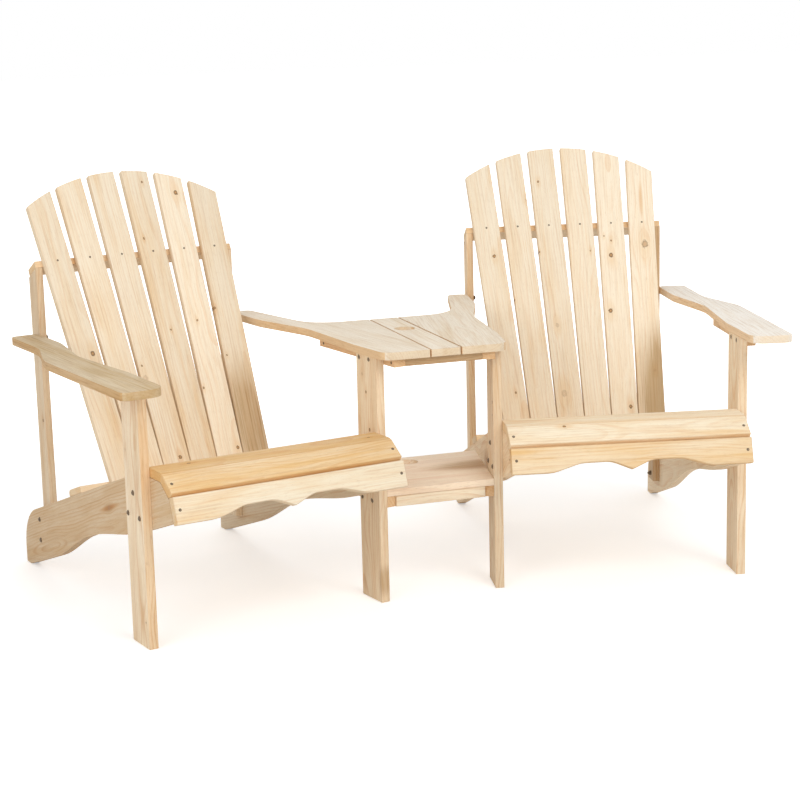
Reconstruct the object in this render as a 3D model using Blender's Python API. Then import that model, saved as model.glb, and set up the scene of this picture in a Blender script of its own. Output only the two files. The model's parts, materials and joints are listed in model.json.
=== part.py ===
"""Wooden garden loveseat: two slatted chairs turned towards the table that joins them.

Each chair is drawn once in its own frame: x grows towards its outer side, y towards the back
and z up, with the front of its front legs at y = 0. The left chair is the mirror image of the
right one. "Flank" is +1 on a chair's outer side and -1 on the side next to the table.
Lengths are in metres. The origin is on the floor, in the middle of the footprint.
"""
import math

import bmesh
import bpy
from mathutils import Matrix, Vector

# Stock and clearances
FIT = 0.0003                            # between faces that touch
BOARD = 0.020                           # seat, apron and frame boards
ARM_BOARD = 0.017                       # arms and table
SLAT_BOARD = 0.016                      # back slats
CLEAT_BOARD = 0.028                     # arm and table cleats
OVERRUN = 0.004                         # how far a drill runs past the board

# How the chairs stand
TOE_IN = math.radians(12.14)            # turn of each chair towards the table
CHAIR_X = 0.406                         # middle of the loveseat to the middle of a chair

# Seat
SEAT_WIDTH = 0.534                      # over the outer faces of the stringers
SEAT_HEIGHT = 0.384
SEAT_FRONT = -0.057                     # front edge of the level top
SEAT_SLAT = 0.069                       # width of the first seat slat
REAR_SLAT = 0.101                       # width of the slats behind it, between the stringers
SEAT_GAP = 0.016
REAR_SLATS = 3
BATTEN_BOARD = 0.016                    # battens that carry them
BATTEN_DEPTH = 0.024
NOSE_PITCH = math.radians(34.6)         # fall of the sloping front slat
NOSE_WIDTH = 0.0563
NOSE_ROUND = 0.030                      # radius over the mitre of the two front slats
NOSE_STEPS = 3                          # on each side of the mitre
APRON_PROUD = 0.006                     # apron in front of the sloping slat's edge
APRON_DROP = 0.006
APRON_DEPTH = 0.057

# Stringers
STRINGER_PITCH = math.radians(18.7)
STRINGER_DEPTH = 0.121
KNEE_Y = 0.056                          # where the level top would meet the slope
KNEE_RADIUS = 0.220
HEEL_LENGTH = 0.027                     # of the stringers on the floor
HEEL_RADIUS = 0.110
SCOOP_FRONT = 0.060                     # start of the scoop under the stringers
SCOOP_REAR = 0.178                      # from its end to the heel
SCOOP_DEPTH = 0.025
SCOOP_STEPS = 9                         # on each side of its deepest point

# Legs, posts and arms
LEG_DEPTH = 0.085
ARM_UNDER = 0.550                       # floor to the underside of the arms
POST_DEPTH = 0.050
POST_BOARD = 0.016
POST_TAIL = 0.017                       # of a post below its lower bolt
ARM_CLEAT_HEIGHT = 0.024
ARM_CLEAT_BOARD = 0.020
ARM_CLEAT_FRONT = 0.006
CLEAT_HEIGHT = 0.018                    # cleats and rails under the table
CLEAT_FRONT = -0.045
CLEAT_REAR = 0.290
ARM_FRONT = -0.104
ARM_REAR = 0.668
ARM_OUTER = 0.360                       # chair's middle to the arm's outer edge
ARM_NECK = 0.066                        # width of the arm at the back
WING_TIP = 0.048                        # width of a table wing at its back end
ARM_SWELL = 0.032                       # inner edge of the arm out from the post, at the waist
ARM_HOLLOW = 0.015                      # and over the front leg
ARM_CORNER = 0.018
ARM_FRONT_BEND = 0.033                  # round corner of the arm next to the seat
ARM_WAIST_Y = 0.400                     # middle of the arm's S-curve
ARM_WAIST_RUN = 0.075
ARM_SWELL_Y = 0.330                     # where the inner edge is furthest out
ARM_SWELL_RUN = 0.185                   # and how far behind that it leaves the post's line
ARM_SOFTENING = 0.200                   # radius of the S-curve's bends

# Back
BACK_LEAN = math.radians(28.5)
BACK_FOOT_Y = 0.3777                    # front of the slats on the stringers' top
BACK_LENGTH = 0.757                     # up the slope to the top of the arc
BACK_ARC = 0.430                        # radius of the arc that tops the slats
BACK_MARGIN = 0.070                     # beside the row of slats at their feet
BACK_SLAT_GAP = 0.0008                  # between slats at their feet
BACK_SLATS = 6
SLAT_TOP_STEPS = 6
FAN_STEP = math.radians(1.38)           # turn from one slat to the next
UPPER_RAIL_UP = 0.5485
UPPER_RAIL_WIDTH = 0.052
UPPER_RAIL_BOARD = 0.016
LOWER_RAIL_WIDTH = 0.078
LOWER_RAIL_BOARD = 0.015
LOWER_RAIL_ROUND = 0.010                # its rear top edge

# Table and shelf
TABLE_FRONT = 0.008
TABLE_BACK = 0.445
CENTRE_BOARD = 0.066
JOINT_GAP = 0.004
TABLE_CORNER = 0.028
TABLE_HOLLOW = 0.095                    # radius of the curve behind the table
TABLE_RAIL_SETBACK = 0.014
REAR_RAIL_Y = 0.325
UMBRELLA_HOLE = 0.046
UMBRELLA_Y = 0.288
SHELF_TOP = 0.254
SHELF_BOARD = 0.016
SHELF_BACK = 0.334
SHELF_CLEAT_LENGTH = 0.275
SHELF_CLEAT_HEIGHT = 0.024

# Bores for the bolts, and for the screw from each post into the end of its arm
BOLT_HOLE = 0.0078
ARM_SCREW_DEPTH = 0.035
ROUND_STEPS = 12
HOLE_STEPS = 48
ARC_STEP = math.radians(9)

# Worked out from the above
VERTICAL_DEPTH = STRINGER_DEPTH / math.cos(STRINGER_PITCH)
STRINGER_OUT = SEAT_WIDTH / 2
STRINGER_IN = STRINGER_OUT - BOARD
LEG_IN = STRINGER_OUT + FIT
LEG_OUT = LEG_IN + BOARD
CLEAT_IN = LEG_OUT + FIT
CLEAT_OUT = CLEAT_IN + CLEAT_BOARD
ARM_CLEAT_OUT = CLEAT_IN + ARM_CLEAT_BOARD
SHELF_CLEAT_OUT = CLEAT_IN + BOARD
POST_OUT = STRINGER_IN - FIT
POST_IN = POST_OUT - POST_BOARD
ARM_IN = POST_OUT + FIT
SEAT_UNDER = SEAT_HEIGHT - BOARD
BACK_ROW = SEAT_WIDTH - 2 * BACK_MARGIN
BACK_SLAT = (BACK_ROW + BACK_SLAT_GAP) / BACK_SLATS - BACK_SLAT_GAP
ARM_TOP = ARM_UNDER + ARM_BOARD

# Directions in a chair's side view, as (y, z)
REARWARD = Vector((math.cos(STRINGER_PITCH), -math.sin(STRINGER_PITCH)))
APRON_UP = Vector((math.sin(STRINGER_PITCH), math.cos(STRINGER_PITCH)))
NOSE_DOWN = Vector((-math.cos(NOSE_PITCH), -math.sin(NOSE_PITCH)))
NOSE_IN = Vector((math.sin(NOSE_PITCH), -math.cos(NOSE_PITCH)))
BACK_UP = Vector((math.sin(BACK_LEAN), math.cos(BACK_LEAN)))
BACK_IN = Vector((math.cos(BACK_LEAN), -math.sin(BACK_LEAN)))
LEVEL = Vector((1, 0))
PLUMB = Vector((0, 1))

# Finishes: base colour, roughness, metallic
FINISHES = {
    "back_slat": ((0.93, 0.80, 0.55), 0.55, 0.0),
    "seat_slat": ((0.92, 0.74, 0.42), 0.55, 0.0),
    "arm": ((0.87, 0.70, 0.48), 0.55, 0.0),
    "table": ((0.88, 0.72, 0.50), 0.55, 0.0),
    "frame": ((0.80, 0.55, 0.28), 0.60, 0.0),
    "rail": ((0.74, 0.48, 0.22), 0.60, 0.0),
    "shelf": ((0.70, 0.42, 0.18), 0.60, 0.0),
}
MIRROR = Matrix.Diagonal((-1, 1, 1, 1))
# A board drawn in the side view (y, z), with its thickness along x
SIDE_VIEW = Matrix(((0, 0, 1, 0), (1, 0, 0, 0), (0, 1, 0, 0), (0, 0, 0, 1)))


# Outlines

def meet(point, along, other, other_along):
    """Where two lines cross, each given by a point and a direction."""
    cross = along.x * other_along.y - along.y * other_along.x
    away = other - point
    return point + along * ((away.x * other_along.y - away.y * other_along.x) / cross)


def rounded(corners):
    """Outline from (point, radius) corners, with an arc at each corner that has a radius."""
    outline = []
    count = len(corners)
    for index, (corner, radius) in enumerate(corners):
        if not radius:
            outline.append(corner.copy())
            continue
        before = (corners[index - 1][0] - corner).normalized()
        after = (corners[(index + 1) % count][0] - corner).normalized()
        half = before.angle(after) / 2
        reach = radius / math.tan(half)
        centre = corner + (before + after).normalized() * (radius / math.sin(half))
        start = corner + before * reach - centre
        turn = math.pi - 2 * half
        if before.x * after.y - before.y * after.x > 0:
            turn = -turn
        steps = max(2, round(abs(turn) / ARC_STEP))
        for step in range(steps + 1):
            angle = turn * step / steps
            outline.append(centre + Matrix.Rotation(angle, 2) @ start)
    return outline


def square(corners):
    """The same with plain corners."""
    return rounded([(corner, 0) for corner in corners])


def slope_top(y):
    """Height of the stringers' straight top at y."""
    return SEAT_UNDER - FIT - (y - KNEE_Y) * math.tan(STRINGER_PITCH)


def heel_front():
    """y where the stringers' straight underside would meet the floor."""
    return KNEE_Y + (SEAT_UNDER - FIT - VERTICAL_DEPTH) / math.tan(STRINGER_PITCH)


def stringer_rear():
    """y of the stringers' rear ends."""
    return heel_front() + HEEL_LENGTH


def on_back(up, inward=0.0):
    """Point of the side view, up the slats from their feet and in from their front faces."""
    foot = Vector((BACK_FOOT_Y, slope_top(BACK_FOOT_Y)))
    return foot + BACK_UP * up + BACK_IN * inward


# Making the pieces

def finish_material(kind):
    """Material of one kind of piece."""
    material = bpy.data.materials.get(kind)
    if material is None:
        colour, roughness, metallic = FINISHES[kind]
        material = bpy.data.materials.new(kind)
        material.use_nodes = True
        shader = material.node_tree.nodes["Principled BSDF"]
        shader.inputs["Base Color"].default_value = (*colour, 1)
        shader.inputs["Roughness"].default_value = roughness
        shader.inputs["Metallic"].default_value = metallic
        material.diffuse_color = (*colour, 1)
    return material


def empty(name, place, parent=None):
    """Frame that pieces hang on."""
    frame = bpy.data.objects.new(name, None)
    bpy.context.collection.objects.link(frame)
    frame.parent = parent
    frame.matrix_basis = place
    return frame


def make_object(name, bm, parent, place, kind, mirrored):
    """Object from a mesh drawn for the right side, mirrored for the left."""
    if mirrored:
        bm.transform(MIRROR)
        bmesh.ops.reverse_faces(bm, faces=bm.faces)
        place = MIRROR @ place @ MIRROR
    mesh = bpy.data.meshes.new(name)
    bm.to_mesh(mesh)
    bm.free()
    piece = bpy.data.objects.new(name, mesh)
    bpy.context.collection.objects.link(piece)
    piece.parent = parent
    piece.matrix_basis = place
    piece["mirrored"] = mirrored
    if kind:
        mesh.materials.append(finish_material(kind))
    return piece


def board(name, outline, thickness, kind, parent, place=None, mirrored=False):
    """Flat board: an outline in its own xy plane, thick along its own z."""
    bm = bmesh.new()
    face = bm.faces.new([bm.verts.new((point.x, point.y, 0)) for point in outline])
    grown = bmesh.ops.extrude_face_region(bm, geom=[face])
    top = [item for item in grown["geom"] if isinstance(item, bmesh.types.BMVert)]
    bmesh.ops.translate(bm, verts=top, vec=(0, 0, thickness))
    bmesh.ops.recalc_face_normals(bm, faces=bm.faces)
    return make_object(name, bm, parent, place or Matrix(), kind, mirrored)


def side_board(name, outline, inner, outer, kind, chair, flank=1, mirrored=False):
    """Board seen from the chair's side, between two distances from the chair's middle."""
    start = min(flank * inner, flank * outer)
    place = Matrix.Translation((start, 0, 0)) @ SIDE_VIEW
    return board(name, outline, abs(outer - inner), kind, chair, place, mirrored)


def drill(piece, bores, steps=ROUND_STEPS):
    """Cut round bores, each (start, end, diameter) in the frame that the piece hangs on."""
    bm = bmesh.new()
    for start, end, diameter in bores:
        along = (end - start).normalized()
        turn = along.to_track_quat("Z", "X").to_matrix().to_4x4()
        middle = Matrix.Translation((start + end) / 2)
        bmesh.ops.create_cone(bm, cap_ends=True, segments=steps, radius1=diameter / 2,
                              radius2=diameter / 2, depth=(end - start).length,
                              matrix=middle @ turn)
    bmesh.ops.recalc_face_normals(bm, faces=bm.faces)
    cutter = make_object(f"{piece.name}_bores", bm, piece.parent, Matrix(), None,
                         piece["mirrored"])
    cutter.hide_render = True
    cutter.display_type = "WIRE"
    cut = piece.modifiers.new("bores", "BOOLEAN")
    cut.operation = "DIFFERENCE"
    cut.solver = "EXACT"
    cut.object = cutter


def cross_bores(places, flank, inner, outer):
    """Bolt holes across a chair, at (y, z) places, through a board from inner to outer."""
    low = flank * (inner - OVERRUN)
    high = flank * (outer + OVERRUN)
    return [(Vector((low, y, z)), Vector((high, y, z)), BOLT_HOLE) for y, z in places]


# Bolt places in a chair's side view, shared by the boards that each bolt joins

def stringer_bolts():
    """Three bolts from each front leg into its stringer."""
    spots_shares = ((0.53, 0.30), (0.20, 0.68), (0.89, 0.68))
    return [(LEG_DEPTH * across, SEAT_UNDER - VERTICAL_DEPTH * down)
            for across, down in spots_shares]


def arm_cleat_bolts():
    """Two bolts from each outer leg into the cleat under its arm."""
    across_shares = (0.25, 0.75)
    return [(LEG_DEPTH * share, ARM_UNDER - ARM_CLEAT_HEIGHT / 2) for share in across_shares]


def table_cleat_bolts():
    """Two bolts from each inner leg into the cleat under the table."""
    across_shares = (0.36, 0.86)
    return [(LEG_DEPTH * share, ARM_UNDER - CLEAT_HEIGHT / 2) for share in across_shares]


def shelf_bolts():
    """Two bolts from each leg next to the table into the shelf's cleat."""
    across_shares = (0.38, 0.88)
    z = SHELF_TOP - SHELF_BOARD - SHELF_CLEAT_HEIGHT / 2
    return [(LEG_DEPTH * share, z) for share in across_shares]


def post_front():
    """Front of the posts: just behind the slats, where the upper rail's underside is."""
    return on_back(UPPER_RAIL_UP - UPPER_RAIL_BOARD / 2, SLAT_BOARD + FIT).x + FIT


def post_bolts():
    """Two bolts from each post into its stringer."""
    y = post_front() + POST_DEPTH / 2
    down_shares = (0.22, 0.61)
    return [(y, slope_top(y) - VERTICAL_DEPTH * share) for share in down_shares]


def arm_screw():
    """The screw from each post into the end of its arm."""
    return ((post_front() + ARM_REAR) / 2, ARM_UNDER + ARM_BOARD / 2)


# Seat pieces

def nose_corner():
    """Lower front edge of the sloping front slat."""
    return Vector((SEAT_FRONT, SEAT_HEIGHT)) + NOSE_DOWN * NOSE_WIDTH


def apron_corner():
    """Upper front edge of the apron."""
    return nose_corner() - Vector((APRON_PROUD, APRON_DROP))


def mitre_foot():
    """Lower end of the mitre between the level and the sloping slat."""
    return meet(Vector((SEAT_FRONT, SEAT_HEIGHT)) + NOSE_IN * BOARD, NOSE_DOWN,
                Vector((0, SEAT_UNDER)), LEVEL)


def nose_arc(step):
    """Point of the round over the mitre, stepping from the level top to the slope."""
    reach = NOSE_ROUND * math.tan(NOSE_PITCH / 2)
    centre = Vector((SEAT_FRONT + reach, SEAT_HEIGHT - NOSE_ROUND))
    angle = NOSE_PITCH * step / (2 * NOSE_STEPS)
    return centre + Vector((-math.sin(angle), math.cos(angle))) * NOSE_ROUND


def first_slat_outline():
    """Level front slat, mitred to the sloping one and rounded over the mitre."""
    rear = SEAT_FRONT + SEAT_SLAT
    shift = LEVEL * (FIT / 2)
    round_top = [nose_arc(step) for step in range(NOSE_STEPS)]
    return square([nose_arc(NOSE_STEPS) + shift, mitre_foot() + shift,
                   Vector((rear, SEAT_UNDER)), Vector((rear, SEAT_HEIGHT))] + round_top)


def nose_outline():
    """Sloping front slat, planed underneath to sit on the apron."""
    shift = LEVEL * (-FIT / 2)
    apron_top = apron_corner() + APRON_UP * FIT
    heel = meet(nose_corner(), NOSE_IN, apron_top, REARWARD)
    toe = meet(mitre_foot(), NOSE_DOWN, apron_top, REARWARD)
    round_top = [nose_arc(2 * NOSE_STEPS - step) for step in range(NOSE_STEPS)]
    return square([nose_arc(NOSE_STEPS) + shift, mitre_foot() + shift, toe, heel,
                   nose_corner()] + round_top)


def stringer_outline():
    """Level front, curved knee, long slope to a round heel, and a scooped underside."""
    slope = Vector((KNEE_Y, SEAT_UNDER - FIT))
    under = slope - PLUMB * VERTICAL_DEPTH
    chamfer = mitre_foot() + NOSE_IN * FIT
    front = apron_corner() + REARWARD * (BOARD + FIT)
    rear = Vector((stringer_rear(), 0))
    corners = [
        (meet(slope, LEVEL, chamfer, NOSE_DOWN), 0),
        (slope, KNEE_RADIUS),
        (meet(slope, REARWARD, rear, PLUMB), HEEL_RADIUS),
        (rear, 0),
        (Vector((heel_front(), 0)), 0),
    ]
    peak_share = 0.58
    end = heel_front() - SCOOP_REAR
    peak = SCOOP_FRONT + (end - SCOOP_FRONT) * peak_share
    for step in range(2 * SCOOP_STEPS + 1):
        part = step / SCOOP_STEPS
        near, far = (end, peak) if part < 1 else (SCOOP_FRONT, peak)
        rise = min(part, 2 - part)
        y = near + (far - near) * rise
        lift = SCOOP_DEPTH * (1 - math.cos(math.pi * rise)) / 2
        corners.append((Vector((y, slope_top(y) - VERTICAL_DEPTH + lift)), 0))
    corners.append((meet(under, REARWARD, front, APRON_UP), 0))
    corners.append((meet(front, APRON_UP, chamfer, NOSE_DOWN), 0))
    return rounded(corners)


def seat_station(distance):
    """Point and fall of the stringers' top, from the start of its knee."""
    reach = KNEE_RADIUS * math.tan(STRINGER_PITCH / 2)
    arc = KNEE_RADIUS * STRINGER_PITCH
    start = Vector((KNEE_Y - reach, SEAT_UNDER - FIT))
    fall = min(max(distance / KNEE_RADIUS, 0), STRINGER_PITCH)
    point = start + Vector((math.sin(fall), math.cos(fall) - 1)) * KNEE_RADIUS
    if distance > arc:
        point += REARWARD * (distance - arc)
    if distance < 0:
        point += LEVEL * distance
    return point, fall


def rear_slats_start():
    """Front of the slats behind the first, from the start of the knee."""
    return SEAT_FRONT + SEAT_SLAT + SEAT_GAP - seat_station(0)[0].x


def rear_slat_outline(index):
    """Slat number index behind the first, flush with the stringers' tops."""
    middle = rear_slats_start() + REAR_SLAT / 2 + index * (REAR_SLAT + SEAT_GAP)
    point, fall = seat_station(middle)
    along = Vector((math.cos(fall), -math.sin(fall))) * (REAR_SLAT / 2)
    base = point - Vector((math.sin(fall), math.cos(fall))) * BOARD
    return square([base - along, base + along, point + along, point - along])


def batten_outline():
    """Batten under the rear slats, curved with the stringers' tops."""
    start = rear_slats_start()
    length = REAR_SLATS * (REAR_SLAT + SEAT_GAP) - SEAT_GAP
    bend = KNEE_RADIUS * STRINGER_PITCH
    distances = [start, (start + bend) / 2, bend, start + length]
    top = []
    low = []
    for distance in distances:
        point, fall = seat_station(distance)
        down = -Vector((math.sin(fall), math.cos(fall)))
        top.append(point + down * (BOARD + FIT))
        low.append(point + down * (BOARD + FIT + BATTEN_DEPTH))
    return square(top + low[::-1])


def apron_outline():
    """Front view of the apron: a drop at the middle and one at each end, with hollows between."""
    half = SEAT_WIDTH / 2
    spots_shares = ((0.17, 0.66, 0.22), (0.42, 0.67, 0.28), (0.65, 1.0, 0.32))
    side = [(Vector((half * across, -APRON_DEPTH * down)), half * radius)
            for across, down, radius in spots_shares]
    mirrored_side = [(Vector((-point.x, point.y)), radius) for point, radius in reversed(side)]
    corners = [(Vector((-half, 0)), 0), (Vector((-half, -APRON_DEPTH)), 0)]
    corners += mirrored_side
    corners.append((Vector((0, -APRON_DEPTH)), 0))
    corners += side
    corners += [(Vector((half, -APRON_DEPTH)), 0), (Vector((half, 0)), 0)]
    return rounded(corners)


def build_seat(chair, name, mirrored):
    """Slats, sloping nose and scalloped apron."""
    half = SEAT_WIDTH / 2
    side_board(f"{name}_seat_slat_1", first_slat_outline(), -half, half, "seat_slat", chair,
               1, mirrored)
    side_board(f"{name}_nose_slat", nose_outline(), -half, half, "seat_slat", chair, 1, mirrored)
    between = STRINGER_IN - FIT
    for index in range(REAR_SLATS):
        side_board(f"{name}_seat_slat_{index + 2}", rear_slat_outline(index), -between, between,
                   "seat_slat", chair, 1, mirrored)
    for flank, word in ((1, "outer"), (-1, "inner")):
        side_board(f"{name}_{word}_seat_batten", batten_outline(), between - BATTEN_BOARD,
                   between, "rail", chair, flank, mirrored)
    back_face = apron_corner() + REARWARD * BOARD
    lean = Matrix.Rotation(math.pi / 2 - STRINGER_PITCH, 4, "X")
    place = Matrix.Translation((0, back_face.x, back_face.y)) @ lean
    board(f"{name}_apron", apron_outline(), BOARD, "seat_slat", chair, place, mirrored)


# Frame pieces

def build_frame(chair, name, mirrored):
    """Stringers, front legs, rear posts and cleats of both flanks."""
    y = post_front()
    rail_under = UPPER_RAIL_UP - UPPER_RAIL_BOARD / 2
    slant = on_back(rail_under, SLAT_BOARD) - BACK_UP * FIT
    foot = post_bolts()[1][1] - POST_TAIL
    post = square([Vector((y, foot)), Vector((y + POST_DEPTH, foot)),
                   meet(slant, BACK_IN, Vector((y + POST_DEPTH, 0)), PLUMB),
                   meet(slant, BACK_IN, Vector((y, 0)), PLUMB)])
    leg_top = ARM_UNDER - FIT
    leg = square([Vector((0, 0)), Vector((LEG_DEPTH, 0)), Vector((LEG_DEPTH, leg_top)),
                  Vector((0, leg_top))])
    cleats = {
        1: ("arm", ARM_CLEAT_FRONT, ARM_CLEAT_HEIGHT, ARM_CLEAT_OUT, arm_cleat_bolts()),
        -1: ("table", CLEAT_FRONT, CLEAT_HEIGHT, CLEAT_OUT, table_cleat_bolts()),
    }
    for flank, word in ((1, "outer"), (-1, "inner")):
        over, front, height, outer, across = cleats[flank]
        piece = side_board(f"{name}_{word}_stringer", stringer_outline(), STRINGER_IN,
                           STRINGER_OUT, "frame", chair, flank, mirrored)
        drill(piece, cross_bores(stringer_bolts() + post_bolts(), flank, STRINGER_IN,
                                 STRINGER_OUT))
        piece = side_board(f"{name}_{word}_leg", leg, LEG_IN, LEG_OUT, "frame", chair, flank,
                           mirrored)
        places = stringer_bolts() + across
        if flank < 0:
            places += shelf_bolts()
        drill(piece, cross_bores(places, flank, LEG_IN, LEG_OUT))
        piece = side_board(f"{name}_{word}_post", post, POST_IN, POST_OUT, "frame", chair,
                           flank, mirrored)
        drill(piece, cross_bores(post_bolts() + [arm_screw()], flank, POST_IN, POST_OUT))
        low = ARM_UNDER - height
        cleat = square([Vector((front, low)), Vector((CLEAT_REAR, low)),
                        Vector((CLEAT_REAR, leg_top)), Vector((front, leg_top))])
        piece = side_board(f"{name}_{over}_cleat", cleat, CLEAT_IN, outer, "rail", chair, flank,
                           mirrored)
        drill(piece, cross_bores(across, flank, CLEAT_IN, outer))


def build_shelf_cleat(chair, name, mirrored):
    """Strip on the leg next to the table that carries the shelf."""
    top = SHELF_TOP - SHELF_BOARD - FIT
    low = top - SHELF_CLEAT_HEIGHT
    outline = square([Vector((0, low)), Vector((SHELF_CLEAT_LENGTH, low)),
                      Vector((SHELF_CLEAT_LENGTH, top)), Vector((0, top))])
    piece = side_board(f"{name}_shelf_cleat", outline, CLEAT_IN, SHELF_CLEAT_OUT, "rail",
                       chair, -1, mirrored)
    drill(piece, cross_bores(shelf_bolts(), -1, CLEAT_IN, SHELF_CLEAT_OUT))


# Back pieces

def back_slat_outline(place_in_row):
    """One slat in the plane of the back, from its foot up to the arc over all the slats."""
    turn = place_in_row * FAN_STEP
    foot = Vector((place_in_row * (BACK_SLAT + BACK_SLAT_GAP), 0))
    along = Vector((math.sin(turn), math.cos(turn)))
    across = Vector((math.cos(turn), -math.sin(turn)))
    centre = Vector((0, BACK_LENGTH - BACK_ARC))
    half = BACK_SLAT / 2
    top = []
    for step in range(SLAT_TOP_STEPS + 1):
        aside = half - BACK_SLAT * step / SLAT_TOP_STEPS
        start = foot + across * aside - centre
        toward = start.dot(along)
        length = -toward + math.sqrt(toward ** 2 - start.length_squared + BACK_ARC ** 2)
        top.append(Vector((aside, length)))
    return square([Vector((-half, 0)), Vector((half, 0))] + top), foot, turn


def build_back(chair, name, mirrored):
    """Fan of slats between a lower rail on the stringers and an upper rail on the posts."""
    rise = Matrix.Rotation(math.pi / 2 - BACK_LEAN, 4, "X")
    origin = on_back(0, SLAT_BOARD)
    plane = Matrix.Translation((0, origin.x, origin.y)) @ rise
    for index in range(BACK_SLATS):
        outline, foot, turn = back_slat_outline((BACK_SLATS - 1) / 2 - index)
        place = (plane @ Matrix.Translation((foot.x, foot.y, 0))
                 @ Matrix.Rotation(-turn, 4, "Z"))
        board(f"{name}_back_slat_{index + 1}", outline, SLAT_BOARD, "back_slat", chair, place,
              mirrored)
    half = SEAT_WIDTH / 2
    behind = on_back(0, SLAT_BOARD + FIT)
    lower = Vector((KNEE_Y, slope_top(KNEE_Y))) + APRON_UP * FIT
    upper = lower + APRON_UP * LOWER_RAIL_BOARD
    front_low = meet(behind, BACK_UP, lower, REARWARD)
    front_high = meet(behind, BACK_UP, upper, REARWARD)
    rear_low = front_low + REARWARD * LOWER_RAIL_WIDTH
    rear_high = rear_low + APRON_UP * LOWER_RAIL_BOARD
    outline = rounded([(front_low, 0), (rear_low, 0), (rear_high, LOWER_RAIL_ROUND),
                       (front_high, 0)])
    side_board(f"{name}_lower_back_rail", outline, -half, half, "rail", chair, 1, mirrored)
    start = on_back(UPPER_RAIL_UP - UPPER_RAIL_BOARD / 2, SLAT_BOARD + FIT)
    width = BACK_IN * UPPER_RAIL_WIDTH
    height = BACK_UP * UPPER_RAIL_BOARD
    outline = square([start, start + width, start + width + height, start + height])
    side_board(f"{name}_upper_back_rail", outline, -POST_OUT, POST_OUT, "rail", chair, 1,
               mirrored)


# Arms and table

def inner_edge():
    """Edge of an arm next to the seat, from the back to the front, as (x, y) and radius."""
    return [
        (Vector((ARM_IN, ARM_SWELL_Y + ARM_SWELL_RUN)), ARM_SOFTENING),
        (Vector((ARM_IN + ARM_SWELL, ARM_SWELL_Y)), ARM_SOFTENING),
        (Vector((ARM_IN + ARM_HOLLOW, LEG_DEPTH)), ARM_SOFTENING),
    ]


def outer_arm_outline():
    """S-shaped arm, narrow at the post and broad over the front leg."""
    neck = ARM_IN + ARM_NECK
    corners = [(Vector((ARM_IN, ARM_REAR)), ARM_CORNER)]
    corners += inner_edge()
    corners += [
        (Vector((LEG_IN, ARM_FRONT)), ARM_FRONT_BEND),
        (Vector((ARM_OUTER, ARM_FRONT)), ARM_CORNER),
        (Vector((ARM_OUTER, ARM_WAIST_Y - ARM_WAIST_RUN)), ARM_SOFTENING),
        (Vector((neck, ARM_WAIST_Y + ARM_WAIST_RUN)), ARM_SOFTENING),
        (Vector((neck, ARM_REAR)), ARM_CORNER),
    ]
    return rounded(corners)


def chair_to_table(point):
    """Point of the right chair, as (x, y), in the table's frame."""
    return Matrix.Rotation(-TOE_IN, 2) @ point + Vector((CHAIR_X, 0))


def table_wing_outline():
    """Arm next to the table: narrow at the post, then widening into the table's top."""
    rearward = chair_to_table(Vector((0, 1))) - chair_to_table(Vector((0, 0)))
    joint = CENTRE_BOARD / 2 + JOINT_GAP
    front = Vector((joint, TABLE_FRONT))
    back = Vector((joint, TABLE_BACK))
    edge = [(chair_to_table(Vector((-point.x, point.y))), radius)
            for point, radius in inner_edge()]
    near_seat = meet(edge[-1][0], rearward, front, LEVEL)
    tip = chair_to_table(Vector((-ARM_IN - WING_TIP, ARM_REAR)))
    waist = chair_to_table(Vector((-ARM_IN - ARM_NECK, ARM_WAIST_Y + ARM_WAIST_RUN)))
    hollow = meet(tip, waist - tip, back, LEVEL)
    corners = [(front, 0), (near_seat, TABLE_CORNER)]
    corners += reversed(edge)
    corners += [
        (chair_to_table(Vector((-ARM_IN, ARM_REAR))), ARM_CORNER),
        (tip, ARM_CORNER),
        (hollow, TABLE_HOLLOW),
        (back, 0),
    ]
    return rounded(corners)


def table_side(distance, y):
    """x in the table's frame where a chair's flank, distance from its middle, passes y."""
    along = (y - distance * math.sin(TOE_IN)) / math.cos(TOE_IN)
    return chair_to_table(Vector((-distance, along))).x


def cross_piece(name, front, depth, distance, low, thickness, kind, parent):
    """Board across the loveseat between the two chairs' flanks."""
    near = table_side(distance, front)
    far = table_side(distance, front + depth)
    outline = square([Vector((-near, front)), Vector((near, front)),
                      Vector((far, front + depth)), Vector((-far, front + depth))])
    return board(name, outline, thickness, kind, parent, Matrix.Translation((0, 0, low)))


def build_arms(root, chair, name, mirrored):
    """The outer arm and the table wing."""
    high = Matrix.Translation((0, 0, ARM_UNDER))
    arm = board(f"{name}_outer_arm", outer_arm_outline(), ARM_BOARD, "arm", chair, high, mirrored)
    wing = board(f"{name}_table_wing", table_wing_outline(), ARM_BOARD, "table", root, high,
                 mirrored)
    y, z = arm_screw()
    start = Vector((POST_OUT - OVERRUN, y, z))
    end = Vector((ARM_IN + ARM_SCREW_DEPTH, y, z))
    drill(arm, [(start, end, BOLT_HOLE)])
    turned = right_chair_place()
    across = Matrix.Diagonal((-1, 1, 1))
    drill(wing, [(turned @ (across @ start), turned @ (across @ end), BOLT_HOLE)])


def umbrella_bore(low, high):
    """Bore for the umbrella's pole."""
    return (Vector((0, UMBRELLA_Y, low - OVERRUN)), Vector((0, UMBRELLA_Y, high + OVERRUN)),
            UMBRELLA_HOLE)


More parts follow.
